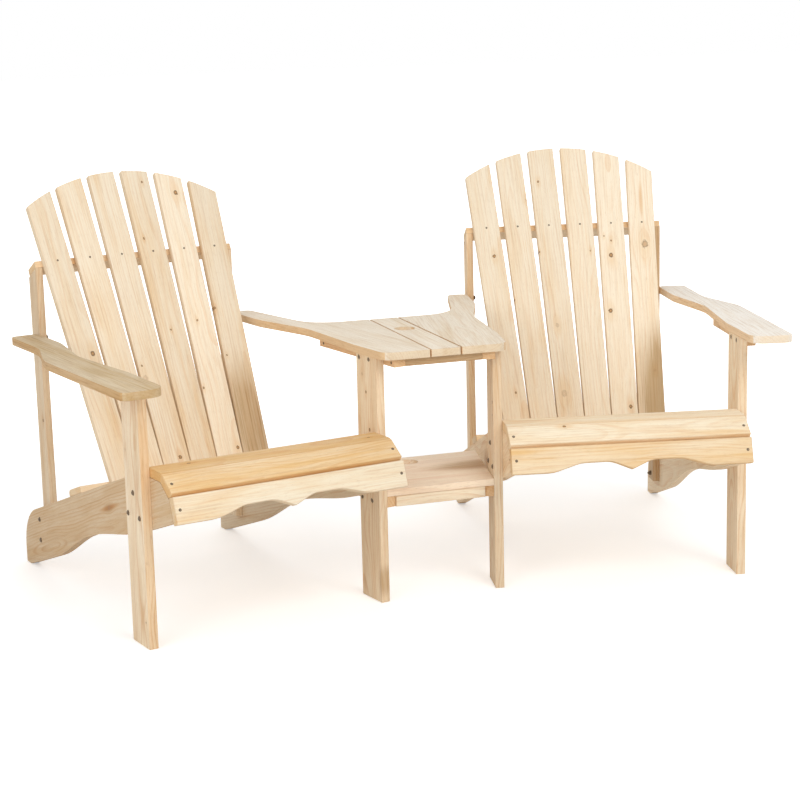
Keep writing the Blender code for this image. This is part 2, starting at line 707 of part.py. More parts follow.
def build_table(root):
    """Centre board and rails of the table, and the shelf below it."""
    half = CENTRE_BOARD / 2
    outline = square([Vector((-half, TABLE_FRONT)), Vector((half, TABLE_FRONT)),
                      Vector((half, TABLE_BACK)), Vector((-half, TABLE_BACK))])
    piece = board("table_centre_board", outline, ARM_BOARD, "table", root,
                  Matrix.Translation((0, 0, ARM_UNDER)))
    drill(piece, [umbrella_bore(ARM_UNDER, ARM_TOP)], HOLE_STEPS)
    low = ARM_UNDER - CLEAT_HEIGHT
    height = CLEAT_HEIGHT - FIT
    inside = CLEAT_OUT + FIT
    cross_piece("table_front_rail", TABLE_FRONT + TABLE_RAIL_SETBACK, BOARD, inside, low, height,
                "rail", root)
    cross_piece("table_rear_rail", REAR_RAIL_Y, BOARD, inside, low, height, "rail", root)
    shelf_front = LEG_OUT * math.sin(TOE_IN)
    piece = cross_piece("shelf_panel", shelf_front, SHELF_BACK - shelf_front, CLEAT_IN,
                        SHELF_TOP - SHELF_BOARD, SHELF_BOARD, "shelf", root)
    drill(piece, [umbrella_bore(SHELF_TOP - SHELF_BOARD, SHELF_TOP)], HOLE_STEPS)
    cross_piece("shelf_front_rail", shelf_front, BOARD, SHELF_CLEAT_OUT + FIT,
                SHELF_TOP - SHELF_BOARD - SHELF_CLEAT_HEIGHT - FIT, SHELF_CLEAT_HEIGHT, "rail",
                root)


# Placing

def right_chair_place():
    """Where the right chair stands."""
    return Matrix.Translation((CHAIR_X, 0, 0)) @ Matrix.Rotation(-TOE_IN, 4, "Z")


def footprint_middle():
    """y of the footprint's middle, before the whole is moved onto the origin."""
    rear = STRINGER_OUT * math.sin(TOE_IN) + stringer_rear() * math.cos(TOE_IN)
    toe = apron_corner() - APRON_UP * APRON_DEPTH
    front = -STRINGER_OUT * math.sin(TOE_IN) + toe.x * math.cos(TOE_IN)
    return (rear + front) / 2


def main():
    """Both chairs and the table between them."""
    for old in list(bpy.data.objects):
        bpy.data.objects.remove(old, do_unlink=True)
    root = empty("loveseat", Matrix.Translation((0, -footprint_middle(), 0)))
    for name, mirrored in (("right", False), ("left", True)):
        place = right_chair_place()
        if mirrored:
            place = MIRROR @ place @ MIRROR
        chair = empty(f"{name}_chair", place, root)
        build_frame(chair, name, mirrored)
        build_seat(chair, name, mirrored)
        build_back(chair, name, mirrored)
        build_arms(root, chair, name, mirrored)
        build_shelf_cleat(chair, name, mirrored)
    build_table(root)
    bpy.context.view_layer.update()


main()
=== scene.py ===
"""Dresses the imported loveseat: softened boards with a timber finish, bolts, nuts and screws."""
import json
import math
import random

import bpy
from mathutils import Matrix, Vector
from mathutils.bvhtree import BVHTree


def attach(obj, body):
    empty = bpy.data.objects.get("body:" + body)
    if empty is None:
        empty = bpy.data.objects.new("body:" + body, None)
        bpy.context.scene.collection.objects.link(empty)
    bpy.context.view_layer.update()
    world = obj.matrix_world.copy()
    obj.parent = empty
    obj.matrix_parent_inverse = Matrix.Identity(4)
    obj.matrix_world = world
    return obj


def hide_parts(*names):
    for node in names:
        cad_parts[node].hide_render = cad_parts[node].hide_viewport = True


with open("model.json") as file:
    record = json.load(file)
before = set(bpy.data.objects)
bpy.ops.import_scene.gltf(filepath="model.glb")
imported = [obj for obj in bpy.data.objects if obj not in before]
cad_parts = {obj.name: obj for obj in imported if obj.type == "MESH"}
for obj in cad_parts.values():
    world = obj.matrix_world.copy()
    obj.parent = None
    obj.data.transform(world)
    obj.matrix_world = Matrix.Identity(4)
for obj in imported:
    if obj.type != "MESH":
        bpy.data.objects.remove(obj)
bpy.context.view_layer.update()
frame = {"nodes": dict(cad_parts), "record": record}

# Sizes in metres, as in the part
FIT = 0.0003
BOARD = 0.020
ARM_BOARD = 0.017
SLAT_BOARD = 0.016
POST_BOARD = 0.016
TOE_IN = math.radians(12.14)
CHAIR_X = 0.406
MIDDLE_Y = 0.318947                     # the footprint's middle, from the legs' fronts
SEAT_WIDTH = 0.534
SEAT_HEIGHT = 0.384
SEAT_FRONT = -0.057
PITCH = math.radians(18.7)
STRINGER_DEPTH = 0.121
KNEE_Y = 0.056
LEG_DEPTH = 0.085
ARM_UNDER = 0.550
ARM_CLEAT_HEIGHT = 0.024
TABLE_CLEAT_HEIGHT = 0.018
SHELF_CLEAT_HEIGHT = 0.024
SHELF_UNDER = 0.238
CLEAT_BOARD = 0.028
POST_DEPTH = 0.050
POST_TOP_DROP = 0.008
BACK_LEAN = math.radians(28.5)
BACK_FOOT_Y = 0.3777
BACK_SLAT_PITCH = 0.0658
BACK_SLATS = 6
FAN_STEP = math.radians(1.38)
UPPER_RAIL_UP = 0.5485
ARM_REAR = 0.668

STRINGER_OUT = SEAT_WIDTH / 2
STRINGER_IN = STRINGER_OUT - BOARD
LEG_OUT = STRINGER_OUT + FIT + BOARD
POST_IN = STRINGER_IN - FIT - POST_BOARD
CLEAT_IN = LEG_OUT + FIT
SEAT_UNDER = SEAT_HEIGHT - BOARD
VERTICAL_DEPTH = STRINGER_DEPTH / math.cos(PITCH)

X_AXIS = Vector((1, 0, 0))
Z_AXIS = Vector((0, 0, 1))
CHAIRS = ((-1, "left"), (1, "right"))


# Places

def on_chair(side, x, y, z):
    """Point of a chair's own frame, side -1 for the left chair and +1 for the right."""
    across = x * math.cos(TOE_IN) + y * math.sin(TOE_IN) + CHAIR_X
    back = -x * math.sin(TOE_IN) + y * math.cos(TOE_IN) - MIDDLE_Y
    return Vector((side * across, back, z))


def turned_with(side, direction):
    """Direction of a chair's own frame."""
    return on_chair(side, *direction) - on_chair(side, 0, 0, 0)


def slope_top(y):
    """Height of the stringers' straight top."""
    return SEAT_UNDER - FIT - (y - KNEE_Y) * math.tan(PITCH)


def on_slats(row_place, up):
    """Point on the middle line of a back slat's front face, in a chair's frame.

    The row place counts slats from the back's middle. Up is measured from the slat's foot."""
    turn = row_place * FAN_STEP
    x = row_place * BACK_SLAT_PITCH + up * math.sin(turn)
    rise = up * math.cos(turn)
    y = BACK_FOOT_Y + rise * math.sin(BACK_LEAN)
    z = slope_top(BACK_FOOT_Y) + rise * math.cos(BACK_LEAN)
    return x, y, z


# Shader sheets and the figure of the timber

KNOTS_PER_BOARD = 5
KNOT_STRETCH = 0.34                     # a halo is longer than it is wide, by one over this
RESIN_STRETCH = 0.09
KNOT_SQUASH = 0.80
PARTING_SQUASH = 0.40
PARTING_RADII = 1.9                     # how far the fibres part round a knot, in its radii
CORE_RADII = (1.20, 0.80)
HALO_RADII = (3.4, 0.9)
# Noise makes a knot's outline uneven
RAGGED_SCALE = 310.0
RAGGED_SWING = 1.1
RAGGED_LEAST = 0.45

# Noises: how fine along the fibres, across the face and through the board, in marks to
# the metre, then the detail and the roughness
DRIFT_NOISE = ((2.2, 5.0, 5.0), 2.0, 0.5)
RIPPLE_NOISE = ((17.0, 38.0, 38.0), 2.0, 0.5)
PATCH_NOISE = ((9.0, 60.0, 60.0), 2.0, 0.5)
FIBRE_NOISE = ((11.0, 560.0, 560.0), 3.0, 0.6)
PORE_NOISE = ((60.0, 1500.0, 1500.0), 1.0, 0.5)
CLOUD_NOISE = ((5.0, 26.0, 26.0), 3.0, 0.55)
FLAME_NOISE = ((2.6, 42.0, 42.0), 3.0, 0.55)
STREAK_NOISE = ((6.0, 240.0, 240.0), 4.0, 0.65)
RIPPLE_DEPTH = 0.0030
SEASON_RATE = 0.7

# Where each mask begins and where it is full. A third number is what shows before it begins
LATE_WOOD = (0.40, 0.92)
LATE_WOOD_END = (1.0, 0.94)
STRONG_YEARS = (0.32, 0.68, 0.30)
STRONG_SPOTS = (0.30, 0.62, 0.35)
PORE_MASK = (0.62, 0.74)
CLOUD_MASK = (0.32, 0.70)
FLAME_MASK = (0.50, 0.72)
STREAK_MASK = (0.46, 0.72)
FIBRE_MASK = (0.50, 0.78)
KNOT_RING_MASK = (0.45, 0.9)
KNOT_RIM_MASK = (0.30, 0.85)

# How strongly each part of the figure shows
WARMTH_SHARES = (("Cloud", 0.38), ("Flame", 0.36))
FULL_WARMTH = 1.25
FIBRE_SHARE = 0.46
END_STREAK_LOSS = 0.7
# Stains and painted shade show at least this much, and streaks add to it
STAIN_AND_SHADE_LEAST = 0.7
STAIN_AND_SHADE_STREAK_SHARE = 0.4
PORE_SHARE = 0.34
HALO_SHARE = 0.36
KNOT_RINGS = 2.6
KNOT_RING_SHARE = 0.30
KNOT_BROWN_SHARE = 0.6
KNOT_BLACK_SHARE = 0.88
END_SHARE = 0.75
ARRIS_SHARE = 0.20

# A power below one makes a colour paler before it is multiplied in. The shades are the
# lightest and the darkest of a knot, as factors of the timber's dark colour
RING_POWER = 0.35
FIBRE_POWER = 0.7
STREAK_POWER = 0.6
HALO_POWER = 0.8
KNOT_SHADES = (1.25, 0.75)
BLACK_KNOT_SHADES = (1.15, 0.26)
RING_TINT = (1.12, 1.0, 0.90)
# Painted shade on the boards' narrow sides
SIDE_SHADE_TINT = (0.92, 0.74, 0.54, 1)
END_TINT = (0.86, 0.74, 0.58, 1)
# Colour that stains and painted shade multiply in
STAIN_AND_SHADE_TINT = (0.62, 0.51, 0.37, 1)
RESIN_TINT = (0.80, 0.55, 0.32, 1)

TIMBER_ROUGHNESS = 0.62
TIMBER_GLOSS = 0.32
GRAIN_DEPTH = 0.0006
GRAIN_STRENGTH = 0.35
ROUGHNESS_SHARES = (("Rings", -0.08), ("Fibre", 0.12), ("Core", -0.16))
HEIGHT_SHARES = (("Fibre", -0.6), ("Rings", 0.4), ("Pores", -0.5), ("Core", -0.6))


class Sheet:
    """Node tree being laid out: makes nodes and joins them."""

    def __init__(self, tree):
        self.tree = tree

    def node(self, kind, **settings):
        """A new node with its settings."""
        made = self.tree.nodes.new(kind)
        for name, value in settings.items():
            setattr(made, name, value)
        return made

    def feed(self, socket, value):
        """Joins a socket to another, or sets its value."""
        if isinstance(value, bpy.types.NodeSocket):
            self.tree.links.new(value, socket)
        elif value is not None:
            socket.default_value = value

    def sum(self, operation, first, second=None, third=None):
        """One step of arithmetic."""
        made = self.node("ShaderNodeMath", operation=operation)
        for socket, value in zip(made.inputs, (first, second, third)):
            self.feed(socket, value)
        return made.outputs[0]

    def together(self, operation, values):
        """Several values as one, two at a time."""
        result = values[0]
        for value in values[1:]:
            result = self.sum(operation, result, value)
        return result

    def add_up(self, start, parts, shares):
        """A start value and each part times its share."""
        for name, share in shares:
            start = self.sum("MULTIPLY_ADD", parts[name], share, start)
        return start

    def long_side(self, first, second):
        """Long side of a right-angled triangle."""
        squares = self.sum("MULTIPLY_ADD", first, first, self.sum("MULTIPLY", second, second))
        return self.sum("SQRT", squares)

    def split(self, place):
        """The three parts of a place."""
        made = self.node("ShaderNodeSeparateXYZ")
        self.feed(made.inputs[0], place)
        return made.outputs

    def noise(self, place, scale, detail=2.0, rough=0.5):
        """Soft noise. A scale of three numbers draws it out along each axis."""
        if isinstance(scale, tuple):
            drawn_out = self.node("ShaderNodeVectorMath", operation="MULTIPLY")
            self.feed(drawn_out.inputs[0], place)
            self.feed(drawn_out.inputs[1], scale)
            place, scale = drawn_out.outputs["Vector"], 1.0
        made = self.node("ShaderNodeTexNoise")
        self.feed(made.inputs["Vector"], place)
        self.feed(made.inputs["Scale"], scale)
        self.feed(made.inputs["Detail"], detail)
        self.feed(made.inputs["Roughness"], rough)
        return made.outputs["Fac"]

    def ramp(self, value, low, high, start=0.0, end=1.0):
        """Smooth change from start at low to end at high."""
        made = self.node("ShaderNodeMapRange", interpolation_type="SMOOTHSTEP")
        for socket, number in zip(made.inputs, (value, low, high, start, end)):
            self.feed(socket, number)
        return made.outputs["Result"]

    def blend(self, share, first, second, kind="MIX"):
        """Two colours blended by a share."""
        made = self.node("ShaderNodeMix", data_type="RGBA", blend_type=kind)
        self.feed(made.inputs[0], share)
        self.feed(made.inputs[6], first)
        self.feed(made.inputs[7], second)
        return made.outputs[2]

    def stored(self, name):
        """What a board's mesh stores under a name."""
        return self.node("ShaderNodeAttribute", attribute_name=name).outputs

    def group(self, tree, **values):
        """A shader group placed with its own values."""
        made = self.node("ShaderNodeGroup", node_tree=tree)
        for name, value in values.items():
            self.feed(made.inputs[name.replace("_", " ")], value)
        return made.outputs

    def bump(self, shader, height, strength, depth):
        """Raised grain from a height, on the shader's normal."""
        made = self.node("ShaderNodeBump")
        made.inputs["Strength"].default_value = strength
        made.inputs["Distance"].default_value = depth
        self.feed(made.inputs["Height"], height)
        self.feed(shader.inputs["Normal"], made.outputs["Normal"])


def new_group(name, inputs, outputs):
    """Shader group with named sockets: its sheet, its inputs and its output node."""
    tree = bpy.data.node_groups.new(name, "ShaderNodeTree")
    for label, kind, default in inputs:
        socket = tree.interface.new_socket(label, in_out="INPUT", socket_type=kind)
        if default is not None:
            socket.default_value = default
    for label in outputs:
        tree.interface.new_socket(label, in_out="OUTPUT", socket_type="NodeSocketFloat")
    sheet = Sheet(tree)
    return sheet, sheet.node("NodeGroupInput").outputs, sheet.node("NodeGroupOutput").inputs


def new_material(name):
    """Material with nodes: itself, its sheet and its shader."""
    material = bpy.data.materials.new(name)
    material.use_nodes = True
    return material, Sheet(material.node_tree), material.node_tree.nodes["Principled BSDF"]


def knot_figure():
    """One round knot through a board: its core, its halo and how it parts the fibres.

    Knot holds its place along and across the board and its radius, in metres."""
    sheet, given, made = new_group(
        "knot_figure",
        [("Grain", "NodeSocketVector", None), ("Knot", "NodeSocketVector", None),
         ("Ragged", "NodeSocketFloat", 0.5), ("Stretch", "NodeSocketFloat", KNOT_STRETCH)],
        ["Core", "Halo", "Eye", "Parting"])
    knot = sheet.split(given["Knot"])
    grain = sheet.split(given["Grain"])
    radius = knot[2]
    along = sheet.sum("SUBTRACT", grain[0], knot[0])
    across = sheet.sum("SUBTRACT", grain[1], knot[1])

    ragged = sheet.sum("MULTIPLY_ADD", given["Ragged"], RAGGED_SWING, RAGGED_LEAST)
    near = sheet.long_side(sheet.sum("MULTIPLY", along, KNOT_SQUASH), across)
    inside = sheet.sum("MULTIPLY", sheet.sum("DIVIDE", near, radius), ragged)
    sheet.feed(made["Core"], sheet.ramp(inside, *CORE_RADII))
    sheet.feed(made["Eye"], inside)

    long_eye = sheet.long_side(sheet.sum("MULTIPLY", along, given["Stretch"]), across)
    sheet.feed(made["Halo"], sheet.ramp(sheet.sum("DIVIDE", long_eye, radius), *HALO_RADII))

    reach = sheet.long_side(sheet.sum("MULTIPLY", along, PARTING_SQUASH), across)
    share = sheet.sum("DIVIDE", sheet.sum("MULTIPLY", radius, PARTING_RADII), reach)
    share = sheet.sum("MINIMUM", sheet.sum("MULTIPLY", share, share), 1.0)
    sheet.feed(made["Parting"], sheet.sum("MULTIPLY", across, share))
    return sheet.tree


def timber_figure():
    """Growth rings, fibres, pores and cloudy tone of a sawn softwood board.

    Grain is a place in the log in metres: along the fibres, across the face, through it."""
    sheet, given, made = new_group(
        "timber_figure",
        [("Grain", "NodeSocketVector", None), ("Parting", "NodeSocketFloat", 0.0),
         ("Pith Depth", "NodeSocketFloat", 0.04), ("Ring Width", "NodeSocketFloat", 0.0052),
         ("Bowing", "NodeSocketFloat", 0.085)],
        ["Rings", "Fibre", "Pores", "Cloud", "Flame", "Streaks"])
    grain = given["Grain"]
    parts = sheet.split(grain)

    # The rings are shells round the pith, which wanders along the log
    side = sheet.sum("SUBTRACT", parts[1], given["Parting"])
    ripple = sheet.noise(grain, *RIPPLE_NOISE)
    side = sheet.sum("MULTIPLY_ADD", ripple, RIPPLE_DEPTH, side)
    depth = sheet.sum("ADD", parts[2], given["Pith Depth"])
    drift = sheet.noise(grain, *DRIFT_NOISE)
    depth = sheet.sum("MULTIPLY_ADD", drift, given["Bowing"], depth)
    turns = sheet.sum("DIVIDE", sheet.long_side(side, depth), given["Ring Width"])
    ring = sheet.sum("FRACT", turns)
    late = sheet.sum("MULTIPLY", sheet.ramp(ring, *LATE_WOOD),
                     sheet.ramp(ring, *LATE_WOOD_END))

    # Some years' rings are stronger than others, and each fades here and there
    seasons = sheet.noise(None, 1.0).node
    seasons.noise_dimensions = "1D"
    sheet.feed(seasons.inputs["W"], sheet.sum("MULTIPLY", turns, SEASON_RATE))
    strength = sheet.ramp(seasons.outputs["Fac"], *STRONG_YEARS)
    patchy = sheet.ramp(sheet.noise(grain, *PATCH_NOISE), *STRONG_SPOTS)
    strength = sheet.sum("MULTIPLY", strength, patchy)
    sheet.feed(made["Rings"], sheet.sum("MULTIPLY", late, strength))

    sheet.feed(made["Fibre"], sheet.noise(grain, *FIBRE_NOISE))
    pores = sheet.noise(grain, *PORE_NOISE)
    sheet.feed(made["Pores"], sheet.ramp(pores, *PORE_MASK))
    cloud = sheet.noise(grain, *CLOUD_NOISE)
    sheet.feed(made["Cloud"], sheet.ramp(cloud, *CLOUD_MASK))
    flame = sheet.noise(grain, *FLAME_NOISE)
    sheet.feed(made["Flame"], sheet.ramp(flame, *FLAME_MASK))
    streaks = sheet.noise(grain, *STREAK_NOISE)
    sheet.feed(made["Streaks"], sheet.ramp(streaks, *STREAK_MASK))
    return sheet.tree


FIGURE = timber_figure()
KNOT_FIGURE = knot_figure()


# Materials

def shade(colour, power=1.0, times=1.0):
    """A colour made paler by a power below one, and lighter or darker by a factor."""
    return (*[channel ** power * times for channel in colour], 1)


def board_knots(sheet, place, ragged):
    """All the knots of a board as one: core, black core, halo, eye and parting."""
    parts = {"Core": [], "Black": [], "Halo": [], "Eye": [], "Parting": []}
    for number in range(1, KNOTS_PER_BOARD + 1):
        knot = sheet.stored(f"knot_{number}")
        one = sheet.group(KNOT_FIGURE, Grain=place, Knot=knot["Color"], Ragged=ragged)
        parts["Black"].append(sheet.sum("MULTIPLY", one["Core"], knot["Alpha"]))
        for name in ("Core", "Halo", "Eye", "Parting"):
            parts[name].append(one[name])
    ways = {"Eye": "MINIMUM", "Parting": "ADD"}
    return {name: sheet.together(ways.get(name, "MAXIMUM"), found)
            for name, found in parts.items()}


def stored_mark(sheet, name, place, ragged, stretch):
    """How strongly a board's stain and painted shade, or its resin, shows."""
    mark = sheet.stored(name)
    one = sheet.group(KNOT_FIGURE, Grain=place, Knot=mark["Color"], Ragged=ragged,
                      Stretch=stretch)
    return sheet.sum("MULTIPLY", one["Halo"], mark["Alpha"])


def timber(name, pale, warm, dark, rings, ring_width, side_shade_share, bowing=0.085, streaks=0.28):
    """Oiled softwood. Each board carries its own place in the log, its tone, its knots and
    painted light and shade.
    """
    material, sheet, shader = new_material(name)
    place = sheet.stored("board_place")["Vector"]
    ends = sheet.stored("end_grain")["Fac"]
    ragged = sheet.noise(place, RAGGED_SCALE)
    knots = board_knots(sheet, place, ragged)
    look = sheet.group(FIGURE, Grain=sheet.stored("grain")["Vector"], Parting=knots["Parting"],
                       Ring_Width=ring_width, Pith_Depth=sheet.stored("pith_depth")["Fac"],
                       Bowing=bowing)

    # Ground tone, growth rings, fibres and streaks
    warmth = sheet.add_up(sheet.stored("tone")["Fac"], look, WARMTH_SHARES)
    colour = sheet.blend(sheet.ramp(warmth, 0.0, FULL_WARMTH), shade(pale), shade(warm))
    brown = (*[channel ** RING_POWER * part for channel, part in zip(dark, RING_TINT)], 1)
    colour = sheet.blend(sheet.sum("MULTIPLY", look["Rings"], rings), colour, brown, "MULTIPLY")
    fibre = sheet.ramp(look["Fibre"], *FIBRE_MASK, end=FIBRE_SHARE)
    colour = sheet.blend(fibre, colour, shade(warm, power=FIBRE_POWER), "MULTIPLY")
    streak = sheet.sum("MULTIPLY", look["Streaks"], streaks)
    off_ends = sheet.sum("MULTIPLY_ADD", ends, -END_STREAK_LOSS, 1.0)
    streak = sheet.sum("MULTIPLY", streak, off_ends)
    colour = sheet.blend(streak, colour, shade(dark, power=STREAK_POWER), "MULTIPLY")

    # Stains and painted shade, resin, pores and knots
    # Stains and painted shadow both darken the colour here, through the stored stain mark
    stain_and_shade = stored_mark(sheet, "stain_and_shade", place, ragged, KNOT_STRETCH)
    streaky = sheet.sum("MULTIPLY_ADD", look["Streaks"], STAIN_AND_SHADE_STREAK_SHARE, STAIN_AND_SHADE_LEAST)
    stain_and_shade = sheet.sum("MULTIPLY", stain_and_shade, streaky)
    colour = sheet.blend(stain_and_shade, colour, STAIN_AND_SHADE_TINT, "MULTIPLY")
    resin = stored_mark(sheet, "resin", place, ragged, RESIN_STRETCH)
    colour = sheet.blend(resin, colour, RESIN_TINT, "MULTIPLY")
    pores = sheet.sum("MULTIPLY", look["Pores"], PORE_SHARE)
    colour = sheet.blend(pores, colour, shade(dark))
    halo = sheet.sum("MULTIPLY", knots["Halo"], HALO_SHARE)
    colour = sheet.blend(halo, colour, shade(warm, power=HALO_POWER), "MULTIPLY")
    turns = sheet.sum("FRACT", sheet.sum("MULTIPLY", knots["Eye"], KNOT_RINGS))
    eye_rings = sheet.ramp(turns, *KNOT_RING_MASK)
    knot_brown = sheet.blend(eye_rings, *[shade(dark, times=part) for part in KNOT_SHADES])
    lines = sheet.sum("MULTIPLY", eye_rings, knots["Core"])
    lines = sheet.sum("MULTIPLY", lines, KNOT_RING_SHARE)
    lines = sheet.sum("MULTIPLY_ADD", knots["Black"], KNOT_BROWN_SHARE, lines)
    colour = sheet.blend(lines, colour, knot_brown)
    rim = sheet.ramp(knots["Eye"], *KNOT_RIM_MASK)
    knot_dark = sheet.blend(rim, *[shade(dark, times=part) for part in BLACK_KNOT_SHADES])
    black = sheet.sum("MULTIPLY", knots["Black"], KNOT_BLACK_SHARE)
    colour = sheet.blend(black, colour, knot_dark)

    # Sawn ends, worn edges, painted shade on the narrow sides, and the board's brightness
    colour = sheet.blend(sheet.sum("MULTIPLY", ends, END_SHARE), colour, END_TINT, "MULTIPLY")
    arris = sheet.sum("MULTIPLY", sheet.stored("arris")["Fac"], ARRIS_SHARE)
    colour = sheet.blend(arris, colour, shade(dark))
    # Narrow sides get painted shade, darker and more orange than the faces
    sides = sheet.sum("MULTIPLY", sheet.stored("painted_shade_side")["Fac"], side_shade_share)
    colour = sheet.blend(sides, colour, SIDE_SHADE_TINT, "MULTIPLY")
    # The board's brightness paints light and shade over the whole board
    grey = sheet.node("ShaderNodeCombineColor")
    brightness = sheet.stored("brightness")["Fac"]
    for socket in grey.inputs[:3]:
        sheet.feed(socket, brightness)
    colour = sheet.blend(1.0, colour, grey.outputs[0], "MULTIPLY")
    sheet.feed(shader.inputs["Base Color"], colour)

    parts = {name: look[name] for name in ("Rings", "Fibre", "Pores")}
    parts["Core"] = knots["Core"]
    rough = sheet.add_up(TIMBER_ROUGHNESS, parts, ROUGHNESS_SHARES)
    sheet.feed(shader.inputs["Roughness"], rough)
    shader.inputs["Specular IOR Level"].default_value = TIMBER_GLOSS
    height = sheet.add_up(0.0, parts, HEIGHT_SHARES)
    sheet.bump(shader, height, GRAIN_STRENGTH, GRAIN_DEPTH)
    return material


STEEL_BROWN = (0.15, 0.105, 0.065, 1)
STEEL_RUBBED = (0.36, 0.27, 0.18, 1)
STEEL_RUB_NOISE = (420.0, 3.0, 0.6)
STEEL_RUB_MASK = (0.45, 0.75)
STEEL_RUB_SMOOTHS = 0.15
STEEL_ROUGHNESS = 0.55
STEEL_METALLIC = 0.25
STEEL_BUMP = (0.25, 0.0002)


def dark_steel():
    """Blackened steel of the fasteners, rubbed brighter here and there."""
    material, sheet, shader = new_material("dark_steel")
    place = sheet.node("ShaderNodeTexCoord").outputs["Object"]
    rub = sheet.ramp(sheet.noise(place, *STEEL_RUB_NOISE), *STEEL_RUB_MASK)
    sheet.feed(shader.inputs["Base Color"], sheet.blend(rub, STEEL_BROWN, STEEL_RUBBED))
    smoother = sheet.sum("MULTIPLY", rub, -STEEL_RUB_SMOOTHS)
    sheet.feed(shader.inputs["Roughness"], sheet.sum("ADD", smoother, STEEL_ROUGHNESS))
    shader.inputs["Metallic"].default_value = STEEL_METALLIC
    sheet.bump(shader, rub, *STEEL_BUMP)
    return material


TIMBERS = {
    "slat_wood": timber("slat_wood", (0.93, 0.81, 0.63), (0.84, 0.61, 0.35),
                        (0.46, 0.25, 0.10), rings=0.34, ring_width=0.0050,
                        side_shade_share=0.10, bowing=0.05),
    "seat_wood": timber("seat_wood", (0.93, 0.82, 0.63), (0.82, 0.54, 0.24),
                        (0.44, 0.22, 0.07), rings=0.40, ring_width=0.0060,
                        side_shade_share=0.34),
    "arm_wood": timber("arm_wood", (0.90, 0.80, 0.63), (0.68, 0.50, 0.27),
                       (0.40, 0.25, 0.12), rings=0.30, ring_width=0.0060,
                       side_shade_share=0.85, bowing=0.05, streaks=0.62),
    "table_wood": timber("table_wood", (0.91, 0.82, 0.68), (0.74, 0.57, 0.36),
                         (0.42, 0.26, 0.13), rings=0.28, ring_width=0.0060,
                         side_shade_share=1.0, bowing=0.05, streaks=0.32),
    # A paler copy of arm_wood, a painted highlight for the right outer arm
    "highlit_arm_wood": timber("highlit_arm_wood", (0.93, 0.88, 0.80), (0.82, 0.68, 0.50),
                            (0.44, 0.28, 0.15), rings=0.20, ring_width=0.0060,
                            side_shade_share=1.0, bowing=0.05, streaks=0.58),
    "frame_wood": timber("frame_wood", (0.93, 0.79, 0.59), (0.76, 0.53, 0.30),
                         (0.38, 0.19, 0.07), rings=0.62, ring_width=0.0062,
                         side_shade_share=0.2, streaks=0.16),
    "rail_wood": timber("rail_wood", (0.84, 0.62, 0.40), (0.66, 0.39, 0.18),
                        (0.34, 0.17, 0.06), rings=0.50, ring_width=0.0055,
                        side_shade_share=0.34),
    "shelf_wood": timber("shelf_wood", (0.96, 0.84, 0.68), (0.80, 0.54, 0.36),
                         (0.34, 0.16, 0.07), rings=0.40, ring_width=0.0060,
                         side_shade_share=0.34),
}
STEEL = dark_steel()


# What sets single boards apart

SLOTS = {entry["node"]: entry["material_slot"] for entry in frame["record"]["subparts"]}
ARRIS = {"slat_wood": 0.0013, "seat_wood": 0.0016, "arm_wood": 0.0022, "frame_wood": 0.0014,
         "rail_wood": 0.0012, "shelf_wood": 0.0014}
# Warmth and brightness of boards that stand out from their fellows, partly their own tone
# Much of the brightness is painted light and shade, as on the table's front rail in shade
TONES_AND_PAINTED_LIGHT = {
    "left_back_slat_1": (0.20, 0.96), "left_back_slat_2": (0.20, 1.0),
    "left_back_slat_3": (0.08, 0.98), "left_back_slat_4": (0.24, 0.97),
    "left_back_slat_5": (-0.12, 1.05), "left_back_slat_6": (0.20, 0.96),
    "right_back_slat_1": (-0.15, 1.06), "right_back_slat_2": (-0.25, 1.05),
    "right_back_slat_3": (0.0, 1.02), "right_back_slat_4": (0.0, 0.98),
    "right_back_slat_5": (0.10, 0.99), "right_back_slat_6": (0.08, 0.98),
    "left_outer_arm": (0.60, 0.90), "right_outer_arm": (-0.10, 1.05),
    "left_table_wing": (0.08, 0.97), "right_table_wing": (0.10, 0.97),
    "table_centre_board": (0.05, 0.98),
    "left_nose_slat": (0.62, 1.0), "right_nose_slat": (0.10, 1.02),
    "left_apron": (0.05, 0.97), "right_apron": (0.50, 0.98),
    "left_seat_slat_1": (0.82, 0.98), "right_seat_slat_1": (0.15, 1.04),
    "left_seat_slat_2": (0.10, 1.0), "left_seat_slat_3": (0.10, 1.0),
    "left_seat_slat_4": (-0.05, 1.0),
    "left_outer_leg": (0.15, 1.0), "left_inner_leg": (0.28, 1.0),
    "right_outer_leg": (0.10, 1.02), "right_inner_leg": (0.15, 0.92),
    "left_outer_stringer": (0.62, 0.84), "left_inner_stringer": (0.15, 0.91),
    "right_inner_stringer": (0.40, 1.05), "right_outer_stringer": (-0.12, 1.07),
    "left_outer_post": (0.30, 0.89), "right_inner_post": (0.35, 1.07),
    "shelf_panel": (0.0, 1.06), "shelf_front_rail": (0.05, 1.02),
    "table_front_rail": (1.05, 0.72), "left_table_cleat": (0.10, 1.0),
    "left_shelf_cleat": (-0.10, 1.06), "right_outer_post": (0.70, 0.86),
    "left_upper_back_rail": (0.35, 1.0), "right_upper_back_rail": (0.10, 1.0),
    "left_lower_back_rail": (0.20, 1.0), "right_lower_back_rail": (0.25, 1.0),
}
# Boards sawn from another timber than the rest of their slot
# The right outer arm's paler copy of arm wood is a painted highlight
OTHER_TIMBER = {
    "right_outer_arm": "highlit_arm_wood", "left_table_wing": "table_wood",
    "right_table_wing": "table_wood", "table_centre_board": "table_wood",
    "left_upper_back_rail": "slat_wood", "right_upper_back_rail": "slat_wood",
    "left_lower_back_rail": "slat_wood", "right_lower_back_rail": "slat_wood",
    "table_front_rail": "frame_wood", "shelf_front_rail": "frame_wood",
}
